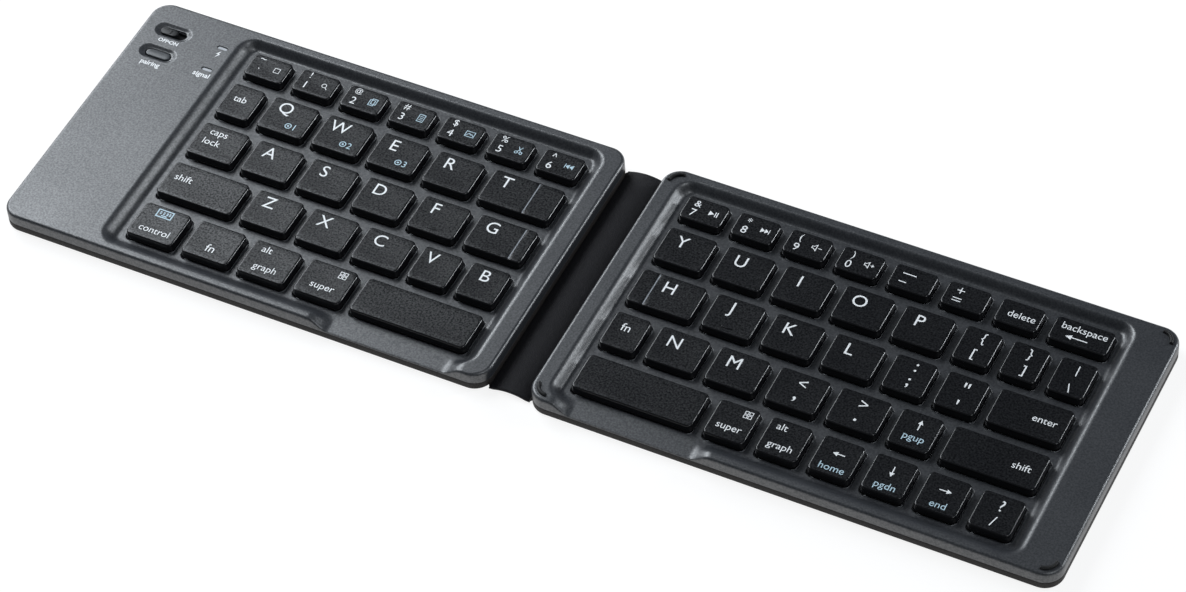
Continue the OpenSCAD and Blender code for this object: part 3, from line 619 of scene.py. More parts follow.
def frame_shell(side):
    """One moulded frame as a closed surface.

    The outer wall and its quarter round are a profile carried round the outline. The well wall is
    z = deck + drop (s + t - sin(2 pi t) / (2 pi)) / 2 at offset slope (t - 1), where
    s = (1 - cos(pi t)) / 2. Over a scoop every height is scaled so that the rim falls to the deck;
    the fall is full between the scoop's ends and eases off as a cosine.
    """
    s = bpy.context.scene.keyboard_frame
    left = side == "left"
    x0, y0, x1, y1, low, top = flat_box(side + "_frame")
    deck, under = top - s.deck_drop, top - s.deck_drop - s.deck_t
    if left:
        well = [x0 + s.left_margin, y0 + s.well_front, x1 - s.well_side, y1 - s.well_back]
        scoop = [x1 - s.scoop_side - s.scoop_w, x1 - s.scoop_side]
        runs = [s.well_slope, s.run_left, s.well_slope, s.run_back]
    else:
        well = [x0 + s.well_side_right, y0 + s.well_front, x1 - s.right_margin, y1 - s.well_back]
        scoop = [x0 + s.scoop_side, x0 + s.scoop_side + s.scoop_w]
        runs = [s.run_right, s.run_end, s.well_slope, s.run_back]
    foot_y = well[1] + s.well_slope

    def rim(p):
        """Height of the rim over a point: top outside the scoops, the tilted scoop floor inside."""
        x, y = p[..., 0], p[..., 1]
        share = 1 - soft(np.maximum(scoop[0] - x, x - scoop[1]) / s.scoop_run)
        share = share * (1 - soft((y - foot_y) / (3 * MM)))
        floor = deck - s.scoop_fall * np.clip((foot_y - y) / (foot_y - y0), 0, 1)
        return top + share * (floor - top)

    def lower(base):
        """Scales heights above a base so that the top meets the rim."""
        def move(p):
            z = p[..., 2]
            ratio = (rim(p) - base) / (top - base)
            q = p.copy()
            q[..., 2] = np.where(z > base, base + (z - base) * ratio, z)
            return q
        return move

    # The outer wall; on the left half the faces round the inlet are left out and filled anew.
    shell = Shell()
    outer = rounded_loop(x0, y0, x1, y1, s.corner, FINE, 20)
    chamfer, r = 0.12 * MM, s.rim_round
    wall_low, wall_high = low + chamfer, top - r
    rows = [(-chamfer, low), (0.0, wall_low), (0.0, wall_high)]
    rows += top_round(r, top, np.linspace(0, 90, 8)[1:]) + [(-r - SEAM, top)]
    drop = np.zeros((len(rows) - 1, len(outer[0])), bool)
    p, q = outer[0], np.roll(outer[0], -1, 0)
    window = 5 * MM  # half the width that is filled anew
    if left:
        on_wall = (np.abs(p[:, 0] - x0) < 1e-7) & (np.abs(q[:, 0] - x0) < 1e-7)
        drop[1] = on_wall & (np.abs((p + q)[:, 1] / 2 - s.inlet_y) < window)
    shell.carry(outer, rows, move=lower(wall_low), drop=drop)
    if left:
        cut = np.flatnonzero(drop[1])
        ys = np.unique(np.r_[p[cut, 1], q[cut, 1]])
        opening = np.r_[np.c_[ys, 0 * ys + wall_low], np.c_[ys[::-1], 0 * ys + wall_high]]
        mouth, mouth_z, mouth_w, mouth_h = Shell(), low + 1.35 * MM, 7.6 * MM, 2.36 * MM
        pill = stadium_loop(s.inlet_y, mouth_z, mouth_w, mouth_h)
        mouth.fill([opening, edge_of_hole(mouth, pill, 0.0, -s.bay_wall, 0.12 * MM)], 0.0)
        shell.sunk(mouth, x0)

    # The well wall. Its run differs by side: left, right, front, back. The normals are stretched.
    stretch = np.array(runs) / s.well_slope
    lip, n = rounded_loop(*well, s.well_corner, FINE, 20)
    lip = (lip, n * np.where(n < 0, stretch[[0, 2]], stretch[[1, 3]]))
    t = np.linspace(1, 0, 25)
    rise = (soft(t) + t - np.sin(2 * np.pi * t) / (2 * np.pi)) / 2
    wall = np.stack([s.well_slope * (t - 1), deck + s.deck_drop * rise], 1)
    shell.carry(lip, np.r_[[(SEAM, top)], wall, [(-s.well_slope - SEAM, deck)]], move=lower(deck))

    # The flat rim and its holes: two dishes over slots and two light windows, or four grooves.
    holes = [grown(lip, SEAM)]
    spots = [(s.control_x, s.power_y), (s.control_x, s.button_y)]
    lights = [stadium_loop(s.light_x, y, s.light_w + 0.2 * MM, s.light_d + 0.2 * MM)
              for y in (s.power_y, s.button_y)]
    bay_top, seat = top - s.bay_roof, top - s.dish_h
    if left:
        for spot in spots:
            dish = stadium_loop(*spot, s.dish_w, s.dish_d, 14)
            slot = stadium_loop(*spot, s.slot_w, s.slot_d, 14)[0]
            t = np.linspace(0, 1, 15)[:, None, None]
            level = 0 * slot[None, :, :1]
            bowl = [dish[0] * (1 - t) + slot * t, level + top - s.bowl_h * (t + soft(t)) / 2]
            brim = np.column_stack([grown(dish, SEAM), level[0] + top])
            foot = np.column_stack([slot, level[0] + seat])
            rows = np.concatenate([brim[None], np.concatenate(bowl, 2), foot[None]])
            shell.add(rows, quads(len(rows), len(slot), wrap=True))
            holes.append(brim[:, :2])
        holes += [edge_of_hole(shell, pill, top, bay_top, 0.08 * MM) for pill in lights]
    else:
        half, floor = 0.6 * MM, top - 0.5 * MM
        for cx, cy, start in corner_spots((x0, y0, x1, y1), s.corner):
            ring = ring_slot(cx, cy, s.bumper_r - half, s.bumper_r + half, start)
            shell.carry((ring, 0 * ring), [(0.0, top), (0.0, floor)], move=lower(deck))
            shell.cap(ring, floor)
            shell.points[-1] = lower(deck)(shell.points[-1])
            holes.append(ring)
    near = np.stack(np.meshgrid(np.arange(scoop[0] - 6 * MM, scoop[1] + 6 * MM, 0.7 * MM),
                                np.arange(y0, foot_y + 4 * MM, 0.7 * MM)), -1).reshape(-1, 2)
    shell.fill([grown(outer, -r - SEAM)] + holes, rim, grid=near)

    # The deck with its key windows, seen from above and from below.
    cuts, lows = [], []
    for b in key_boxes(side):
        gap = s.window_gap
        hole = rounded_loop(b[0] - gap, b[1] - gap, b[3] + gap, b[4] + gap, s.window_corner,
                            STRAIGHT, 5)
        cuts.append(edge_of_hole(shell, hole, deck, under, s.window_round))
        lows.append(hole[0])
    shell.fill([grown(lip, -s.well_slope - SEAM)] + cuts, deck)
    room = (grown(lip, -s.well_slope), lip[1])
    shell.fill([room[0]] + lows, under, down=True)
    shell.carry(room, [(0.0, low), (0.0, under)], flip=True)

    # The underside at the parting line, with the electronics bay of the left half.
    bottoms = [room[0]]
    if left:
        bay = rounded_loop(x0 + s.bay_wall, y0 + s.bay_wall, well[0] - s.bay_rib, y1 - s.bay_wall,
                           2 * MM, 4 * MM, 6)
        bottoms.append(bay[0])
        shell.carry(bay, [(0.0, low), (0.0, bay_top)], flip=True)
        rings = [bay[0]] + [pill[0] for pill in lights]
        boss_low, boss_wall, inset = seat - 0.8 * MM, 1 * MM, 0.3 * MM
        for spot in spots:
            boss = stadium_loop(*spot, s.dish_w + boss_wall, s.dish_d + boss_wall, 14)
            shell.carry(boss, [(0.0, bay_top), (0.0, boss_low)], flip=True)
            rings.append(boss[0])
            hole = stadium_loop(*spot, s.slot_w - inset, s.slot_d - inset, 14)
            brink = edge_of_hole(shell, hole, seat, boss_low, 0.06 * MM)
            shell.fill([stadium_loop(*spot, s.slot_w, s.slot_d, 14)[0], brink], seat)
            shell.fill([boss[0], hole[0]], boss_low, down=True)
        shell.fill(rings, bay_top, down=True)
    shell.fill([grown(outer, -chamfer)] + bottoms, low, down=True)
    return shell


# ---- Keycaps and legends -------------------------------------------------


def keycap(shell, box, top, groove=None):
    """One cap: a hollow top on a grid, a quarter round, a drafted skirt, and an open inside.

    Top height is -dish (1 - u^2)(1 - v^2) with u and v from -1 to 1 across the face. Columns
    shorten in the corners by d = r - sqrt(r^2 - a^2). A groove is a V of constant depth in x.
    """
    s = bpy.context.scene.keyboard_keys
    edge, r, rnd = s.edge, s.corner, s.round
    x0, y0, x1, y1 = box[0] + edge, box[1] + edge, box[3] - edge, box[4] - edge
    cx, cy, w, d = (x0 + x1) / 2, (y0 + y1) / 2, x1 - x0, y1 - y0
    a = np.sin(np.radians(np.linspace(0, 90, 7))) * r
    column = 1.4 * MM
    straight = np.linspace(-w / 2 + r, w / 2 - r, max(int(w / column), 5))
    xs = np.r_[(-w / 2 + r) - a[:0:-1], straight, (w / 2 - r) + a[1:]]
    half = s.groove / 2
    if groove is not None:
        xs = np.unique(np.r_[xs, groove - cx + np.array([-1, -0.4, 0, 0.4, 1]) * half])
    over = np.maximum(np.abs(xs) - (w / 2 - r), 0)
    reach = d / 2 - r + np.sqrt(np.maximum(r * r - over * over, 0))
    v = np.linspace(-1, 1, 9)
    gx = np.repeat(xs[None], len(v), 0)
    gy = v[:, None] * reach[None]
    gz = -s.dish * (1 - (gx / (w / 2)) ** 2) * (1 - v[:, None] ** 2)
    lean = np.stack([np.sign(xs) * over / r, np.sqrt(np.maximum(1 - (over / r) ** 2, 0))], 1)
    right = np.repeat([[1.0, 0.0]], len(v) - 2, 0)
    points = np.concatenate([
        np.c_[xs, -reach], np.c_[gx[1:-1, -1], gy[1:-1, -1]],
        np.c_[xs, reach][::-1], np.c_[gx[1:-1, 0], gy[1:-1, 0]][::-1],
    ]) + [cx, cy]
    loop = (points, np.concatenate([lean * [1, -1], right, lean[::-1], -right]))
    chamfer = 0.06 * MM
    inside = [(rnd - s.wall, -s.wall), (rnd - s.wall, -s.height), (edge - chamfer, -s.height),
              (edge, chamfer - s.height)]
    bend = np.radians(np.linspace(0, 90, 7))
    skirt = [(rnd * math.cos(b), -rnd + rnd * math.sin(b)) for b in bend]

    def notch(p):
        """Lifts points to the cap's height and cuts the V groove across the top."""
        q = p.copy()
        if groove is not None:
            cut = np.clip(1 - np.abs(q[..., 0] - groove) / half, 0, 1) * s.groove_h
            q[..., 2] = np.minimum(q[..., 2], np.where(cut > 0, -cut, q[..., 2]))
        q[..., 2] += top
        return q

    # Materials by face: 0 matt, 1 the polished edge and skirt, 2 the groove, painted pale as a
    # highlight of its lit edge.
    shell.carry(loop, inside + skirt, move=notch)
    shell.cap(grown(loop, rnd - s.wall), top - s.wall, down=True)
    shell.add(notch(np.stack([gx + cx, gy + cy, gz], -1)), quads(len(v), len(xs)))
    shell.marks += [0] * (3 * len(points)) + [1] * (6 * len(points)) + [0] * (len(points) + 1)
    # Faces inside the groove take material 2, the painted groove highlight.
    across = np.zeros(len(xs) - 1, int)
    if groove is not None:
        across[np.abs((xs[:-1] + xs[1:]) / 2 + cx - groove) < half] = 2
    shell.marks += np.tile(across, len(v) - 1).tolist()


CAPITAL = 0.682  # height of a capital H of Blender's font at size 1


def lettering(words, height, thin=0.0):
    """Outline text in Blender's own font, centred on its box; height is that of a capital H."""
    curve = bpy.data.curves.new("words", "FONT")
    curve.body, curve.size, curve.resolution_u = words, 1.0, 4
    curve.offset = thin
    holder = bpy.data.objects.new("words", curve)
    mesh = bpy.data.meshes.new_from_object(holder)
    co = np.empty(len(mesh.vertices) * 3)
    mesh.vertices.foreach_get("co", co)
    co = co.reshape(-1, 3)[:, :2]
    faces = [list(p.vertices) for p in mesh.polygons]
    bpy.data.meshes.remove(mesh)
    bpy.data.objects.remove(holder)
    bpy.data.curves.remove(curve)
    middle = (co.min(0) + co.max(0)) / 2
    return (co - middle) * height / CAPITAL, faces


def stroke(points, width, closed=False):
    """A line of constant width as flat quads, with its corners mitred."""
    p = np.asarray(points, float)
    step = np.roll(p, -1, 0) - p
    if not closed:
        step[-1] = step[-2]
    step /= np.linalg.norm(step, axis=1)[:, None]
    back = np.roll(step, 1, 0)
    if not closed:
        back[0] = step[0]
    n = np.stack([-step[:, 1], step[:, 0]], 1)
    m = np.stack([-back[:, 1], back[:, 0]], 1)
    mitre = (n + m) / np.maximum(1 + (n * m).sum(1), 0.3)[:, None]
    both = np.concatenate([p - mitre * width / 2, p + mitre * width / 2])
    k = len(p)
    i = np.arange(k if closed else k - 1)
    j = (i + 1) % k
    return both, np.stack([i, j, j + k, i + k], 1).tolist()


def circle(cx, cy, r, n=28):
    """Points of a circle."""
    a = np.radians(np.linspace(0, 360, n, endpoint=False))
    return np.stack([cx + r * np.cos(a), cy + r * np.sin(a)], 1)


def solid(points):
    """A filled flat outline."""
    return np.asarray(points, float), [list(range(len(points)))]


def box_line(x0, y0, x1, y1):
    """Corners of a rectangle."""
    return [(x0, y0), (x1, y0), (x1, y1), (x0, y1)]


THIN = 0.16  # line width of a symbol that is 2 high


def outline(*box):
    """A rectangle drawn as a line."""
    return stroke(box_line(*box), THIN, True)


def hoop(*values):
    """A circle drawn as a line."""
    return stroke(circle(*values), THIN, True)


def skip(f):
    """Two arrow heads and a bar, pointing right for f = 1 and left for f = -1."""
    heads = [solid([(back * f, -0.6), (tip * f, 0.0), (back * f, 0.6)][::f])
             for back, tip in ((-0.9, 0.0), (0.0, 0.8))]
    return heads + [stroke([(0.9 * f, -0.6), (0.9 * f, 0.6)], THIN)]


def arrow(degrees):
    """An arrow turned anticlockwise from pointing right."""
    a = math.radians(degrees)
    turn = np.array([[math.cos(a), math.sin(a)], [-math.sin(a), math.cos(a)]])
    shaft = stroke([(-0.95, 0), (0.35, 0)], THIN * 1.1)
    head = solid([(0.2, -0.42), (0.98, 0.0), (0.2, 0.42)])
    return [(p @ turn, f) for p, f in (shaft, head)]


HORN = stroke([(-1.0, -0.25), (-0.65, -0.25), (-0.1, -0.75), (-0.1, 0.75), (-0.65, 0.25),
               (-1.0, 0.25)], THIN, True)
LESS = stroke([(0.25, 0), (1.05, 0)], THIN)

# Flat pieces of generic symbols in a square from -1 to 1.
ICONS = {
    "magnifier": [hoop(-0.2, 0.2, 0.6), stroke([(0.25, -0.25), (0.9, -0.9)], THIN * 1.3)],
    "page": [outline(-0.7, -0.9, 0.4, 0.6), outline(-0.3, -0.5, 0.8, 0.95)],
    "document": [outline(-0.65, -0.95, 0.65, 0.95)] + [
        stroke([(-0.35, y), (0.35, y)], THIN) for y in (0.45, 0.0, -0.45)],
    "picture": [outline(-0.95, -0.7, 0.95, 0.7), stroke(
        [(-0.8, -0.45), (-0.2, 0.25), (0.15, -0.15), (0.4, 0.05), (0.8, -0.45)], THIN)],
    "scissors": [hoop(-0.5, -0.6, 0.3, 18), hoop(0.5, -0.6, 0.3, 18)] + [
        stroke([(-0.35 * f, -0.35), (0.45 * f, 0.95)], THIN) for f in (1, -1)],
    "previous": skip(-1),
    "next": skip(1),
    "play": [solid([(-0.95, -0.65), (0.1, 0.0), (-0.95, 0.65)]),
             solid(box_line(0.3, -0.65, 0.5, 0.65)), solid(box_line(0.72, -0.65, 0.92, 0.65))],
    "softer": [HORN, LESS],
    "louder": [HORN, LESS, stroke([(0.65, -0.4), (0.65, 0.4)], THIN)],
    "dash": [stroke([(-1.0, 0), (1.0, 0)], 0.17)],
    "hyphen": [stroke([(-1.0, 0), (1.0, 0)], 0.28)],
    "plus": [stroke([(-1.0, 0), (1.0, 0)], 0.26), stroke([(0, -1.0), (0, 1.0)], 0.26)],
    "equals": [stroke([(-1.0, y), (1.0, y)], 0.22) for y in (-0.36, 0.36)],
    "home": [outline(-0.8, -0.8, 0.8, 0.8)],
    "keys": [outline(-1.0, -0.55, 1.0, 0.55), stroke([(-0.4, -0.3), (0.4, -0.3)], THIN)] + [
        stroke([(x, y), (x + 0.22, y)], THIN * 1.1)
        for y in (0.22, -0.02) for x in (-0.7, -0.25, 0.2, 0.55)],
    "four": [outline(x - 0.36, y - 0.36, x + 0.36, y + 0.36)
             for x in (-0.5, 0.5) for y in (-0.5, 0.5)],
    "channel": [stroke(circle(0, 0, 0.8, 24), THIN * 1.6, True), solid(circle(0, 0, 0.3, 12))],
    "right": arrow(0),
    "up": arrow(90),
    "left": arrow(180),
    "down": arrow(270),
    "bolt": [solid([(0.0, -0.05), (-0.3, -1.0), (0.5, 0.08), (0.1, 0.12), (0.35, 1.0), (-0.5, 0.0),
                    (-0.05, 0.05)])],
    "back": [solid([(-0.4, 0.25), (-0.95, 0.0), (-0.4, -0.25)]),
             stroke([(-0.5, 0.0), (0.95, 0.0)], 0.1)],
}


def printed(words, height, thin=0.0):
    """Flat pieces of a mark in millimetres: a symbol after an at sign, or else text."""
    if words.startswith("@") and len(words) > 1:
        return [(p * height / 2, faces) for p, faces in ICONS[words[1:]]]
    return [lettering(words, height, thin)]


# Legends: text or symbol, place from the key's middle in mm (right, back), height in mm, and
# "second" for pale blue. Lists go over the keys of a node from the back row on, left to right.
BIG, WORD, DIGIT, SIGN, SMALL = 4.2, 2.4, 2.8, 2.4, 2.3
NUMBER_LEFT = [
    [("~", -3.3, 3.1, SIGN), ("`", -2.9, -1.0, SIGN), ("@home", 2.9, 0.2, 2.3)],
    [("!", -3.1, 2.9, SIGN), ("1", -3.1, -1.3, DIGIT), ("@magnifier", 2.9, 0.2, 2.5)],
    [("@", -3.1, 2.7, 1.75), ("2", -3.1, -1.3, DIGIT), ("@page", 2.9, 0.2, 3.05, "second")],
    [("#", -3.1, 2.7, SIGN), ("3", -3.1, -1.3, DIGIT), ("@document", 2.9, 0.2, 3.05, "second")],
    [("$", -3.1, 2.7, SIGN), ("4", -3.1, -1.4, DIGIT), ("@picture", 2.9, 0.2, 3.05, "second")],
    [("%", -3.1, 2.7, SIGN), ("5", -3.1, -1.4, DIGIT), ("@scissors", 2.9, 0.2, 3.05, "second")],
    [("^", -3.1, 2.9, SIGN), ("6", -3.1, -1.4, DIGIT), ("@previous", 2.9, 0.2, 3.05, "second")],
]
NUMBER_RIGHT = [
    [("&", -2.9, 2.2, SIGN), ("7", -3.1, -1.5, DIGIT), ("@play", 2.9, 0.2, 3.05)],
    [("*", -2.9, 2.4, SIGN), ("8", -3.1, -1.6, DIGIT), ("@next", 2.9, 0.2, 3.05)],
    [("(", -2.9, 2.0, SIGN), ("9", -3.1, -1.6, DIGIT), ("@softer", 2.9, 0.2, 3.05)],
    [(")", -2.9, 2.0, SIGN), ("0", -3.1, -1.6, DIGIT), ("@louder", 2.9, 0.2, 3.05)],
    [("@dash", -1.6, 1.6, 4.2), ("@hyphen", -2.6, -1.7, 2.4)],
    [("@plus", -2.3, 1.9, 2.4), ("@equals", -2.3, -1.7, 2.8)],
    [("delete", 0.8, -0.2, WORD)],
    [("backspace", 0.4, 1.4, WORD), ("@back", -1.0, -1.9, 7.2)],
]
LEGENDS = {
    "left_number_keys": NUMBER_LEFT,
    "right_number_keys": NUMBER_RIGHT,
    "left_side_keys": [
        [("tab", -0.5, 1.05, WORD)],
        [("caps", -1.5, 3.0, WORD), ("lock", -2.0, -0.3, WORD)],
        [("shift", -7.2, 1.15, WORD)],
        [("@keys", -0.15, 4.0, 5.0, "second"), ("control", 0.15, -2.9, WORD)],
        [("fn", 0.1, -2.3, 2.9)],
        [("alt", -2.8, 4.0, WORD), ("graph", -0.1, -3.1, WORD)],
        [("@four", 3.9, 4.0, 2.8), ("super", 0.1, -2.85, WORD)],
    ],
    "punctuation_keys": [
        [("{", 0.65, 3.2, 3.2), ("[", 0.1, -3.2, 3.2)],
        [("}", 0.5, 3.1, 3.2), ("]", 0.8, -3.2, 3.2)],
        [("|", 0.5, 2.9, 2.9), ("\\", 0.4, -3.9, 3.2)],
        [(":", 0.7, 3.5, 4.4), (";", 0.6, -2.6, 4.4)],
        [("\"", 0.5, 3.3, 4.8), ("'", 0.3, -3.4, 4.8)],
        [("<", 0.4, 3.0, 3.6), (",", 0.2, -3.2, 5.2)],
        [(">", 0.4, 3.0, 3.6), (".", 0.2, -3.2, 5.2)],
        [("?", 0.5, 2.8, 3.8), ("/", 0.1, -3.0, 3.6)],
    ],
    "right_modifier_keys": [
        [("fn", -0.5, 1.7, 2.9)],
        [("shift", 8.25, 0.0, WORD)],
        [("@four", 3.4, 4.0, 2.8), ("super", 0.1, -2.85, WORD)],
        [("alt", -2.2, 4.0, WORD), ("graph", -0.1, -3.1, WORD)],
    ],
    "arrow_keys": [
        [("@up", 0.4, 2.3, 3.9), ("pgup", 0.5, -3.2, WORD, "second")],
        [("@left", 0.2, 1.4, 3.9), ("home", 0.2, -3.9, WORD, "second")],
        [("@down", 0.2, 1.8, 3.9), ("pgdn", 0.2, -4.1, WORD, "second")],
        [("@right", 0.2, 1.4, 3.9), ("end", 0.1, -3.9, WORD, "second")],
    ],
    "enter_key": [[("enter", 4.6, -0.1, WORD)]],
    "left_space_key": [[]],
    "right_space_key": [[]],
}
CHANNEL = ("@channel", 1.7, -3.0, 2.4, "second")
EXTRA = {"key_" + letter: [CHANNEL, (digit, x, -3.0, SMALL, "second")]
         for letter, digit, x in (("q", "1", 3.8), ("w", "2", 3.9), ("e", "3", 3.9))}
LONG = {"key_t": -4.0, "key_g": -1.75}  # the letter stands over the part left of the groove
PLACES = {"key_h": (-0.1, 2.5), "key_b": (-0.4, 2.9)}
for node in KEY_NODES["left"] + KEY_NODES["right"]:
    if node.startswith("key_"):
        place = (-2.3 + LONG.get(node, 0.0), 2.9) if node in KEY_NODES["left"] else (-1.9, 2.3)
        letter = (node[4].upper(), *PLACES.get(node, place), BIG)
        LEGENDS[node] = [[letter] + EXTRA.get(node, [])]


def marks_of(node):
    """Flat pieces of a node's legends by ink: a list of (points in metres, faces, key box)."""
    flat = {"ink": [], "second": []}
    for box, legends in zip(solids(node), LEGENDS[node]):
        cx, cy = (box[0] + box[3]) / 2, (box[1] + box[4]) / 2
        for words, dx, dy, height, *tone in legends:
            for p, faces in printed(words, height):
                at = p * MM + [cx + dx * MM, cy + dy * MM]
                flat[tone[0] if tone else "ink"].append((at, faces, box))
    return flat


def key_surface(p, box, top):
    """Height of the dished top at points p: the formula of keycap()."""
    s = bpy.context.scene.keyboard_keys
    cx, cy = (box[0] + box[3]) / 2, (box[1] + box[4]) / 2
    u = (p[:, 0] - cx) / ((box[3] - box[0]) / 2 - s.edge)
    v = (p[:, 1] - cy) / ((box[4] - box[1]) / 2 - s.edge)
    return top - s.dish * (1 - u * u) * (1 - v * v)


# ---- Operators -----------------------------------------------------------


class KEYBOARD_OT_frames(bpy.types.Operator):
    """Both moulded frames: rims, wells, scoops, decks with key windows, dishes and slots"""

    bl_idname = "keyboard.frames"
    bl_label = "Frames"

    def execute(self, context):
        for side in ("left", "right"):
            put(side + "_frame_moulding", frame_shell(side), ["frame"], side + "_half",
                side + "_frame")
        return {"FINISHED"}


class KEYBOARD_OT_keycaps(bpy.types.Operator):
    """Every keycap, hollow underneath, with its dished top and bright skirt edge"""

    bl_idname = "keyboard.keycaps"
    bl_label = "Keycaps"

    def execute(self, context):
        s = context.scene.keyboard_keys
        for node in KEY_NODES["left"] + KEY_NODES["right"]:
            shell = Shell()
            for box in solids(node):
                top = box[2] + s.height
                left_face, right_face = box[0] + s.edge + s.letter_w, box[3] - s.edge - s.letter_w
                grooves = {"key_t": left_face, "key_g": left_face, "key_h": right_face}
                keycap(shell, box, top, grooves.get(node))
                if node in ("key_f", "key_j"):
                    home_bar(shell, (box[0] + box[3]) / 2, box[1] + s.edge + 1.5 * MM, top)
            # The third material paints the groove's highlight in pale grey.
            put(node + "_cap", shell, ["key", "skirt", "groove"], node, node)
        return {"FINISHED"}


def home_bar(shell, cx, y, top):
    """The small bar that a finger finds on two letter keys, 3.4 by 0.5 mm and 0.15 mm high."""
    bar = rounded_loop(cx - 1.7 * MM, y - 0.25 * MM, cx + 1.7 * MM, y + 0.25 * MM, 0.24 * MM,
                       corner=4)
    z, foot = top + 0.15 * MM, top - 0.2 * MM
    shell.block(bar, [(0, foot), (0, z - 0.1 * MM), (-0.04 * MM, z - 0.03 * MM), (-0.12 * MM, z)])
    shell.marks += [0] * (len(shell.faces) - len(shell.marks))


class KEYBOARD_OT_legends(bpy.types.Operator):
    """Printed legends that lie on the dished key tops"""

    bl_idname = "keyboard.legends"
    bl_label = "Legends"

    def execute(self, context):
        s = context.scene.keyboard_keys
        endings = {"ink": "_legends", "second": "_second_legends"}
        for node in KEY_NODES["left"] + KEY_NODES["right"]:
            for tone, pieces in marks_of(node).items():
                shell = Shell()
                for p, faces, box in pieces:
                    z = key_surface(p, box, box[2] + s.height) + s.ink
                    shell.add(np.column_stack([p, z]), faces)
                if pieces:
                    put(node + endings[tone], shell, [tone], node, merge=False)
        return {"FINISHED"}


class KEYBOARD_OT_leathers(bpy.types.Operator):
    """The two leather trays, with rounded lower edges and a turned top edge"""

    bl_idname = "keyboard.leathers"
    bl_label = "Leather trays"

    def execute(self, context):
        s = context.scene.keyboard_frame
        skin, r, turn, tip = 0.9 * MM, 0.8 * MM, 0.28 * MM, 0.3 * MM
        for side, sign in (("left", -1), ("right", 1)):
            _, _, _, _, low, parting = flat_box(side + "_leather")
            x0, y0, x1, y1, _, _ = flat_box(side + "_frame")
            loop = rounded_loop(x0, y0, x1, y1, s.corner, 3 * MM, 12)
            bend = np.radians(np.linspace(0, 90, 7)[1:])
            rows = [(-r, low)] + [(r * (math.sin(a) - 1), low + r - r * math.cos(a)) for a in bend]
            rows += [(0.0, parting - turn)] + top_round(turn, parting, (30, 60, 90))
            shell = Shell()
            shell.block(loop, rows + [(-skin, parting), (-skin, low + skin)])
            # The flap runs under the edge of the spine.
            edge = x1 if side == "left" else x0
            flap = sorted([edge - sign * 0.9 * MM, edge + sign * 0.5 * MM])
            loop = rounded_loop(flap[0], y0 + 3 * MM, flap[1], y1 - 3 * MM, 0.8 * MM, 20 * MM, 5)
            half = [(-tip, low), (-0.08 * MM, low + 0.1 * MM), (0, low + tip)]
            shell.block(loop, half + [(x, 2 * low + skin - z) for x, z in half[::-1]])
            put(side + "_leather_tray", shell, ["leather"], side + "_half", side + "_leather")
        return {"FINISHED"}


class KEYBOARD_OT_domes(bpy.types.Operator):
    """The rubber sheets, and under each key a dome"""

    bl_idname = "keyboard.domes"
    bl_label = "Rubber domes"

    def execute(self, context):
        foot, tip, sheet_t, lap = 2.7 * MM, 1.35 * MM, 0.2 * MM, 0.02 * MM
        for side in ("left", "right"):
            x0, y0, x1, y1, low, high = flat_box(side + "_dome_sheet")
            base = low + sheet_t
            sheet = Shell()
            sheet.block(rounded_loop(x0, y0, x1, y1, 4 * MM, STRAIGHT, 6), [(0, low), (0, base)])
            put(side + "_rubber_sheet", sheet, ["silicone"], side + "_half", side + "_dome_sheet")
            # The cap comes down 1.2 mm on the dome, which keeps 0.05 mm of room below it.
            profile = [(0, base - lap), (0, base + 0.15 * MM), (tip - foot, high - 0.15 * MM),
                       (tip - foot - 0.2 * MM, high)]
            for node in KEY_NODES[side]:
                domes = Shell()
                for b in solids(node):
                    cx, cy = (b[0] + b[3]) / 2, (b[1] + b[4]) / 2
                    domes.block(stadium_loop(cx, cy, 2 * foot, 2 * foot, 6), profile)
                piece = put(node + "_domes", domes, ["silicone"], side + "_half")
                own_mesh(piece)
        return {"FINISHED"}


class KEYBOARD_OT_spine(bpy.types.Operator):
    """The soft spine as two half strips, each arched across its width"""

    bl_idname = "keyboard.spine"
    bl_label = "Spine"

    def execute(self, context):
        half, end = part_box("spine_leather")[1][:2]
        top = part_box("spine_lining")[1][2]
        reach = abs(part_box("left_frame")[1][0]) - 0.02 * MM
        fold, r, rise = 4.4 * MM, 0.55 * MM, 1.0 * MM
        radius = (half * half + rise * rise) / (2 * rise)
        # Along: straight, with rounded ends; pinch is the share of the thickness at each place.
        a = np.radians([90, 60, 30, 0])
        ys = np.r_[-end + r * (1 - np.sin(a)), np.linspace(-end + 2 * MM, end - 2 * MM, 24),
                   end - r * (1 - np.sin(a[::-1]))]
        pinch = np.maximum(np.r_[np.cos(a), np.ones(24), np.cos(a[::-1])], 0.05)[:, None]
        for side, sign in (("left", -1), ("right", 1)):
            # Across: an arch z = rise - R + sqrt((R + t)^2 - x^2).
            x = np.linspace(0, reach, 15) * sign
            upper = rise - radius + np.sqrt((radius + top - rise) ** 2 - x * x)
            under = np.maximum(rise - radius + np.sqrt(radius ** 2 - x * x), 0.03 * MM)
            middle = (upper + under) / 2
            rows, cols = len(ys), len(x)
            above = np.stack([np.repeat(x[None], rows, 0), np.repeat(ys[:, None], cols, 1),
                              middle + pinch * (upper - middle)], -1)
            below = above.copy()
            below[..., 2] = middle + pinch * (under - middle)
            flip = sign < 0
            shell = Shell()
            shell.add(above, quads(rows, cols, flip=flip))
            shell.add(below, quads(rows, cols, flip=not flip))
            for k, turn in ((0, True), (-1, False)):
                wall = np.stack([below[:, k], above[:, k]])
                shell.add(wall, quads(2, rows, flip=turn ^ flip))
                wall = np.stack([below[k], above[k]])
                shell.add(wall, quads(2, cols, flip=turn ^ (not flip)))
            piece = build(side + "_spine_strip", shell, [finish_of("spine")])
            if side == "left":
                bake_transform(piece)
                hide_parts("spine_leather")
            else:
                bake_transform(piece)
                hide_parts("spine_lining")
        return {"FINISHED"}


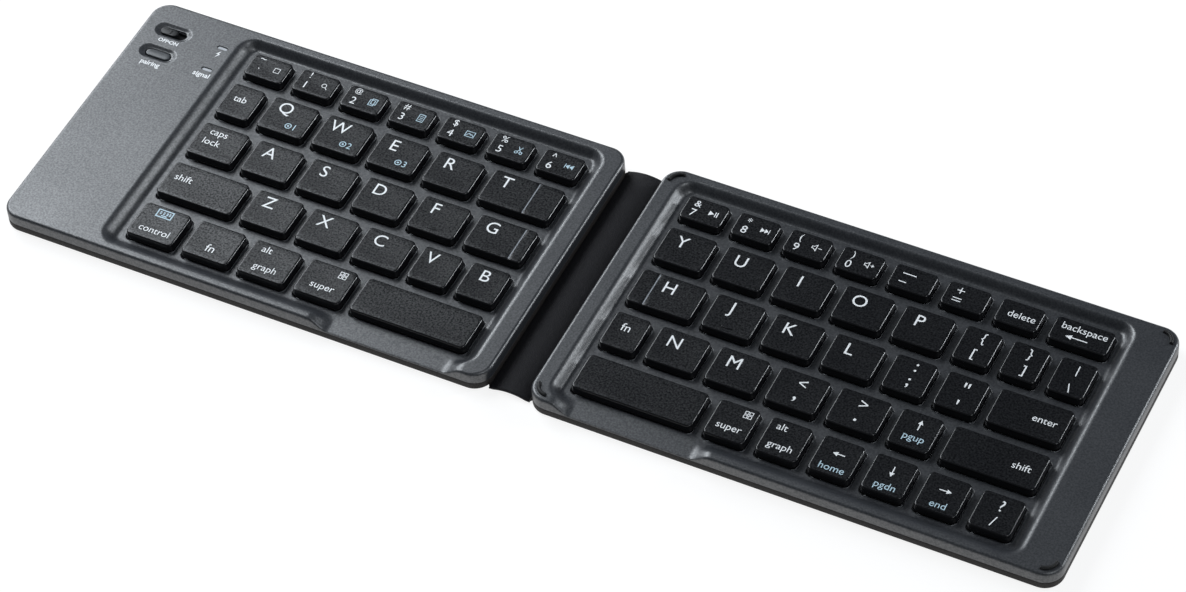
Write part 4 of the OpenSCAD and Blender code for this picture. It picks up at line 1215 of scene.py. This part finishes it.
class KEYBOARD_OT_controls(bpy.types.Operator):
    """The power slider with its grip ridge, the pairing button and the two light windows"""

    bl_idname = "keyboard.controls"
    bl_label = "Controls"

    def execute(self, context):
        s = context.scene.keyboard_frame
        x0, y0, x1, y1, low, top = flat_box("power_slider")
        cx, cy = (x0 + x1) / 2, (y0 + y1) / 2
        plate, left = top - 0.2 * MM, x0 + 0.85 * MM
        knob_w, knob_d, knob_h, r = 6.0 * MM, 3.0 * MM, 1.0 * MM, 0.35 * MM
        shell = Shell()
        shell.block(stadium_loop(left + knob_w / 2, cy, knob_w, knob_d, 12),
                    [(-0.12 * MM, plate - knob_h), (0.0, plate - 0.88 * MM), (0.0, plate - r)]
                    + top_round(r, plate))
        ridge = rounded_loop(left + 3.3 * MM, cy - 0.75 * MM, left + 3.8 * MM, cy + 0.75 * MM,
                             0.2 * MM, corner=4)
        shell.block(ridge, [(0.0, plate - 0.1 * MM), (0.0, top - 0.1 * MM),
                            (-0.05 * MM, top - 0.03 * MM), (-0.12 * MM, top)])
        neck = rounded_loop(cx - 1.5 * MM, cy - 0.8 * MM, cx + 1.5 * MM, cy + 0.8 * MM, 0.3 * MM,
                            corner=3)
        shell.block(neck, [(0.0, low), (0.0, plate - 0.9 * MM)])
        put("power_slider_knob", shell, ["control"], "power_slider", "power_slider")

        x0, y0, x1, y1, low, top = flat_box("pairing_button")
        cx, cy = (x0 + x1) / 2, (y0 + y1) / 2
        face = stadium_loop(cx, cy, 8.5 * MM, 2.9 * MM, 12)
        step, edge, r = low + 0.5 * MM, top - 0.06 * MM, 0.4 * MM
        shell = Shell()
        shell.carry(face, [(0.0, step), (0.0, edge - r)] + top_round(r, edge)
                    + [(-0.9 * MM, top - 0.01 * MM), (-1.3 * MM, top)])
        shell.cap(grown(face, -1.3 * MM), top)
        shell.block(stadium_loop(cx, cy, x1 - x0, y1 - y0, 12), [(0.0, low), (0.0, step)])
        put("pairing_button_cap", shell, ["button"], "pairing_button", "pairing_button")

        low, top = flat_box("light_guides")[4:]
        face = top - 0.3 * MM
        shell = Shell()
        for box in solids("light_guides"):
            cx, cy = (box[0] + box[3]) / 2, (box[1] + box[4]) / 2
            shell.block(stadium_loop(cx, cy, s.light_w, s.light_d),
                        [(0.0, low), (0.0, face - 0.1 * MM), (-0.1 * MM, face)])
        put("light_window_pills", shell, ["light"], "left_half", "light_guides")
        return {"FINISHED"}


class KEYBOARD_OT_bumpers(bpy.types.Operator):
    """The four quarter-ring rubber bumpers, with round backs and tapered ends"""

    bl_idname = "keyboard.bumpers"
    bl_label = "Corner bumpers"

    def execute(self, context):
        s = context.scene.keyboard_frame
        z0, z1 = flat_box("corner_bumpers")[4:]
        # Section: straight sides and a half ellipse on top, drawn in at the ends as sqrt(1 - e^2).
        b = np.radians(np.linspace(0, 180, 9))
        wide = 0.5 * MM
        tall = wide * 0.9
        section = np.r_[[(wide, z0)], np.c_[wide * np.cos(b), z1 - tall + tall * np.sin(b)],
                        [(-wide, z0)]]
        a = np.linspace(0, 1, 25)
        reach = np.sqrt(1 - np.clip((np.abs(a - 0.5) * 2 - 0.9) / 0.1, 0, 0.98) ** 2)[:, None]
        radius = s.bumper_r + reach * section[:, 0]
        z = z0 + reach ** 0.5 * (section[:, 1] - z0)
        n = len(section)
        ends = [list(range(n)), [len(a) * n - 1 - i for i in range(n)]]
        shell = Shell()
        for cx, cy, start in corner_spots(flat_box("right_frame")[:4], s.corner):
            turn = np.radians(start + 90 * a)[:, None]
            grid = np.stack([cx + radius * np.cos(turn), cy + radius * np.sin(turn), z], -1)
            shell.add(grid, quads(len(a), n, wrap=True, flip=True).tolist() + ends)
        put("corner_bumper_rings", shell, ["rubber"], "right_half", "corner_bumpers")
        return {"FINISHED"}


class KEYBOARD_OT_inlet(bpy.types.Operator):
    """The charging inlet: a pill-shaped steel shell and its contact tongue"""

    bl_idname = "keyboard.inlet"
    bl_label = "Charging inlet"

    def execute(self, context):
        x0, y0, x1, y1, z0, z1 = flat_box("usb_socket")
        y, z, deep = (y0 + y1) / 2, (z0 + z1) / 2, x1 - x0
        skin, play = 0.32 * MM, 0.1 * MM
        tube = Shell()
        tube.block(stadium_loop(y, z, y1 - y0 - play, z1 - z0 - play, 8),
                   [(0.0, -deep), (0.0, -0.06 * MM), (-0.06 * MM, 0.0), (-skin + 0.05 * MM, 0.0),
                    (-skin, -0.05 * MM), (-skin, -deep + 0.6 * MM)])
        tongue = Shell()
        bar = rounded_loop(y - 2.5 * MM, z - 0.32 * MM, y + 2.5 * MM, z + 0.32 * MM, 0.2 * MM,
                           corner=4)
        tongue.block(bar, [(0.0, -deep + 0.5 * MM), (0.0, -0.8 * MM), (-0.15 * MM, -0.6 * MM)])
        for name, part, kind, node, slot in (
            ("charging_inlet_shell", tube, "socket", "usb_socket", "socket_steel"),
            ("charging_inlet_tongue", tongue, "case", None, None),
        ):
            shell = Shell()
            shell.sunk(part, x0)
            put(name, shell, [kind], "left_half", node)
        return {"FINISHED"}


class KEYBOARD_OT_frame_marks(bpy.types.Operator):
    """Small printed marks beside the controls: ON, OFF, a word at the button and at a light"""

    bl_idname = "keyboard.frame_marks"
    bl_label = "Frame marks"

    def execute(self, context):
        s = context.scene.keyboard_frame
        z = flat_box("left_frame")[5] + 0.015 * MM
        x, light, power, button, switch = s.control_x, s.light_x, s.power_y, s.button_y, 4.4 * MM
        marks = [
            ("OFF", x - 1.2 * MM, power - switch, 1.35), ("ON", x + 2.5 * MM, power - switch, 1.35),
            ("pairing", x, button - 5.1 * MM, 1.7), ("@bolt", light, power - 2.9 * MM, 3.0),
            ("signal", light - 0.5 * MM, button - 2.9 * MM, 1.8),
        ]
        shell = Shell()
        for words, cx, cy, height in marks:
            for p, faces in printed(words, height, 0.02):
                shell.add(np.column_stack([p * MM + [cx, cy], np.full(len(p), z)]), faces)
        shell.cap(circle(x + 0.8 * MM, power - switch, 0.3 * MM, 14), z)
        put("frame_marks", shell, ["ink"], "left_half", merge=False)
        return {"FINISHED"}


class KEYBOARD_OT_finishes(bpy.types.Operator):
    """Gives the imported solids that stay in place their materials"""

    bl_idname = "keyboard.finishes"
    bl_label = "Finishes of the packed solids"

    def execute(self, context):
        kinds = {
            "battery": "foil", "circuit_board": "board", "board_switches": "rubber",
            "light_guides": "light", "spine_cable": "film", "usb_socket": "socket",
            "spine_leather": "leather", "spine_lining": "spine", "power_slider": "control",
            "pairing_button": "button", "corner_bumpers": "rubber",
        }
        pairs = {
            "case": "case", "key_plate": "steel", "dome_sheet": "silicone", "magnets": "nickel",
            "screws": "zinc", "frame": "frame", "leather": "leather",
        }
        for end, kind in pairs.items():
            kinds.update({"left_" + end: kind, "right_" + end: kind})
        for node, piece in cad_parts.items():
            piece.data.materials.clear()
            piece.data.materials.append(finish_of(kinds.get(node, "key")))
        return {"FINISHED"}


class KEYBOARD_OT_stage(bpy.types.Operator):
    """Pale floor, soft lamps and the camera"""

    bl_idname = "keyboard.stage"
    bl_label = "Stage"

    def execute(self, context):
        scene = context.scene
        scene.view_settings.view_transform = "Standard"
        # Matt paint: an even pale ground that takes a soft shadow.
        material, tree, shader, coords = new_material("Matt white floor paint")
        speck = add(tree, "ShaderNodeTexNoise", {"Vector": coords, "Scale": 1 / (2 * MM)})
        rough = add(tree, "ShaderNodeMapRange", {
            "Value": speck.outputs["Fac"], "To Min": 0.75, "To Max": 0.85,
        })
        tree.links.new(rough.outputs["Result"], shader.inputs["Roughness"])
        shader.inputs["Base Color"].default_value = linear("#f4f4f4")
        shader.inputs["Specular IOR Level"].default_value = 0.1
        # The floor glows white where it is seen or mirrored, and still takes part of the shadow.
        rays = add(tree, "ShaderNodeLightPath").outputs
        share = rays["Is Camera Ray"]
        for value, sum_up in ((rays["Is Glossy Ray"], "MAXIMUM"),
                              (rays["Is Transmission Ray"], "MAXIMUM"), (0.75, "MULTIPLY")):
            share = add(tree, "ShaderNodeMath", {0: share, 1: value}, operation=sum_up).outputs[0]
        white = add(tree, "ShaderNodeEmission", {"Color": (1, 1, 1, 1), "Strength": 1.12})
        both = add(tree, "ShaderNodeMixShader", {
            0: share, 1: shader.outputs[0], 2: white.outputs[0],
        })
        tree.links.new(both.outputs[0], tree.get_output_node("ALL").inputs["Surface"])
        floor = bpy.data.meshes.new("floor")
        floor.from_pydata([(*p, 0.0) for p in box_line(-4.0, -4.0, 4.0, 4.0)], [], [(0, 1, 2, 3)])
        floor.materials.append(material)
        ground = bpy.data.objects.new("floor", floor)
        scene.collection.objects.link(ground)

        world = bpy.data.worlds.new("Soft room")
        scene.world = world
        world.use_nodes = True
        tree = world.node_tree
        tree.nodes.clear()
        room = add(tree, "ShaderNodeBackground", {"Color": (0.85, 0.92, 1, 1), "Strength": 0.1})
        add(tree, "ShaderNodeOutputWorld", {"Surface": room.outputs[0]})

        # Each lamp: name, place, aim, width, depth, watts.
        lamps = [
            ("left softbox", (-0.78, 0.24, 0.72), (-0.1, 0, 0), 0.74, 0.58, 9.8),
            ("overhead", (0.9, -0.3, 1.3), (0, 0, 0), 0.5, 0.5, 4.5),
            ("left low", (-1.0, 0.75, 0.34), (-0.05, 0, 0), 0.5, 0.3, 3.5),
            ("right strip", (0.9, 0.75, 0.42), (0.1, 0, 0), 0.08, 0.7, 6.0),
        ]
        for name, place, aim, wide, deep, watts in lamps:
            data = bpy.data.lights.new(name, "AREA")
            data.shape, data.size, data.size_y, data.energy = "RECTANGLE", wide, deep, watts
            data.color = (0.9, 0.95, 1.0)
            lamp = bpy.data.objects.new(name, data)
            lamp.location = place
            lamp.rotation_euler = (Vector(aim) - Vector(place)).to_track_quat("-Z", "Y").to_euler()
            scene.collection.objects.link(lamp)

        # The camera's axes: forward, and up turned by the roll about it.
        forward = Vector((-0.3250262, 0.57144795, -0.7535285)).normalized()
        across = forward.cross(Vector((0, 0, 1))).normalized()
        above = across.cross(forward)
        roll = math.radians(4.50)
        up = math.cos(roll) * above + math.sin(roll) * across
        right = math.cos(roll) * across - math.sin(roll) * above
        data = bpy.data.cameras.new("camera")
        data.lens, data.sensor_width, data.clip_start = 128.04, 36.0, 0.01
        camera = bpy.data.objects.new("camera", data)
        camera.matrix_world = Matrix((
            (right.x, up.x, -forward.x, 0.41067), (right.y, up.y, -forward.y, -0.71483),
            (right.z, up.z, -forward.z, 0.93961), (0, 0, 0, 1),
        ))
        scene.collection.objects.link(camera)
        scene.camera = camera
        return {"FINISHED"}


class KEYBOARD_PT_panel(bpy.types.Panel):
    """Lists the sizes and the pieces of the keyboard"""

    bl_idname = "KEYBOARD_PT_panel"
    bl_label = "Folding keyboard"
    bl_space_type = "VIEW_3D"
    bl_region_type = "UI"
    bl_category = "Keyboard"

    def draw(self, context):
        for group in GROUPS:
            box = self.layout.box()
            data = getattr(context.scene, group)
            for name in data.__annotations__:
                box.prop(data, name)
        for operator in OPERATORS:
            self.layout.operator(operator.bl_idname)


GROUPS = {"keyboard_frame": FrameSizes, "keyboard_keys": KeySizes, "keyboard_finishes": Finishes}
OPERATORS = (
    KEYBOARD_OT_stage, KEYBOARD_OT_finishes, KEYBOARD_OT_frames, KEYBOARD_OT_keycaps,
    KEYBOARD_OT_domes, KEYBOARD_OT_legends, KEYBOARD_OT_leathers, KEYBOARD_OT_spine,
    KEYBOARD_OT_controls, KEYBOARD_OT_bumpers, KEYBOARD_OT_inlet, KEYBOARD_OT_frame_marks,
)
CLASSES = (*GROUPS.values(), *OPERATORS, KEYBOARD_PT_panel)


def register():
    """Registers the classes and hangs the sizes on the scene."""
    for cls in CLASSES:
        bpy.utils.register_class(cls)
    for name, group in GROUPS.items():
        setattr(bpy.types.Scene, name, bpy.props.PointerProperty(type=group))


def unregister():
    """Takes the classes and the sizes away again."""
    for name in GROUPS:
        delattr(bpy.types.Scene, name)
    for cls in reversed(CLASSES):
        bpy.utils.unregister_class(cls)


def main():
    """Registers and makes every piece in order."""
    register()
    for operator in OPERATORS:
        group, name = operator.bl_idname.split(".")
        getattr(getattr(bpy.ops, group), name)()


if __name__ == "__main__":
    main()
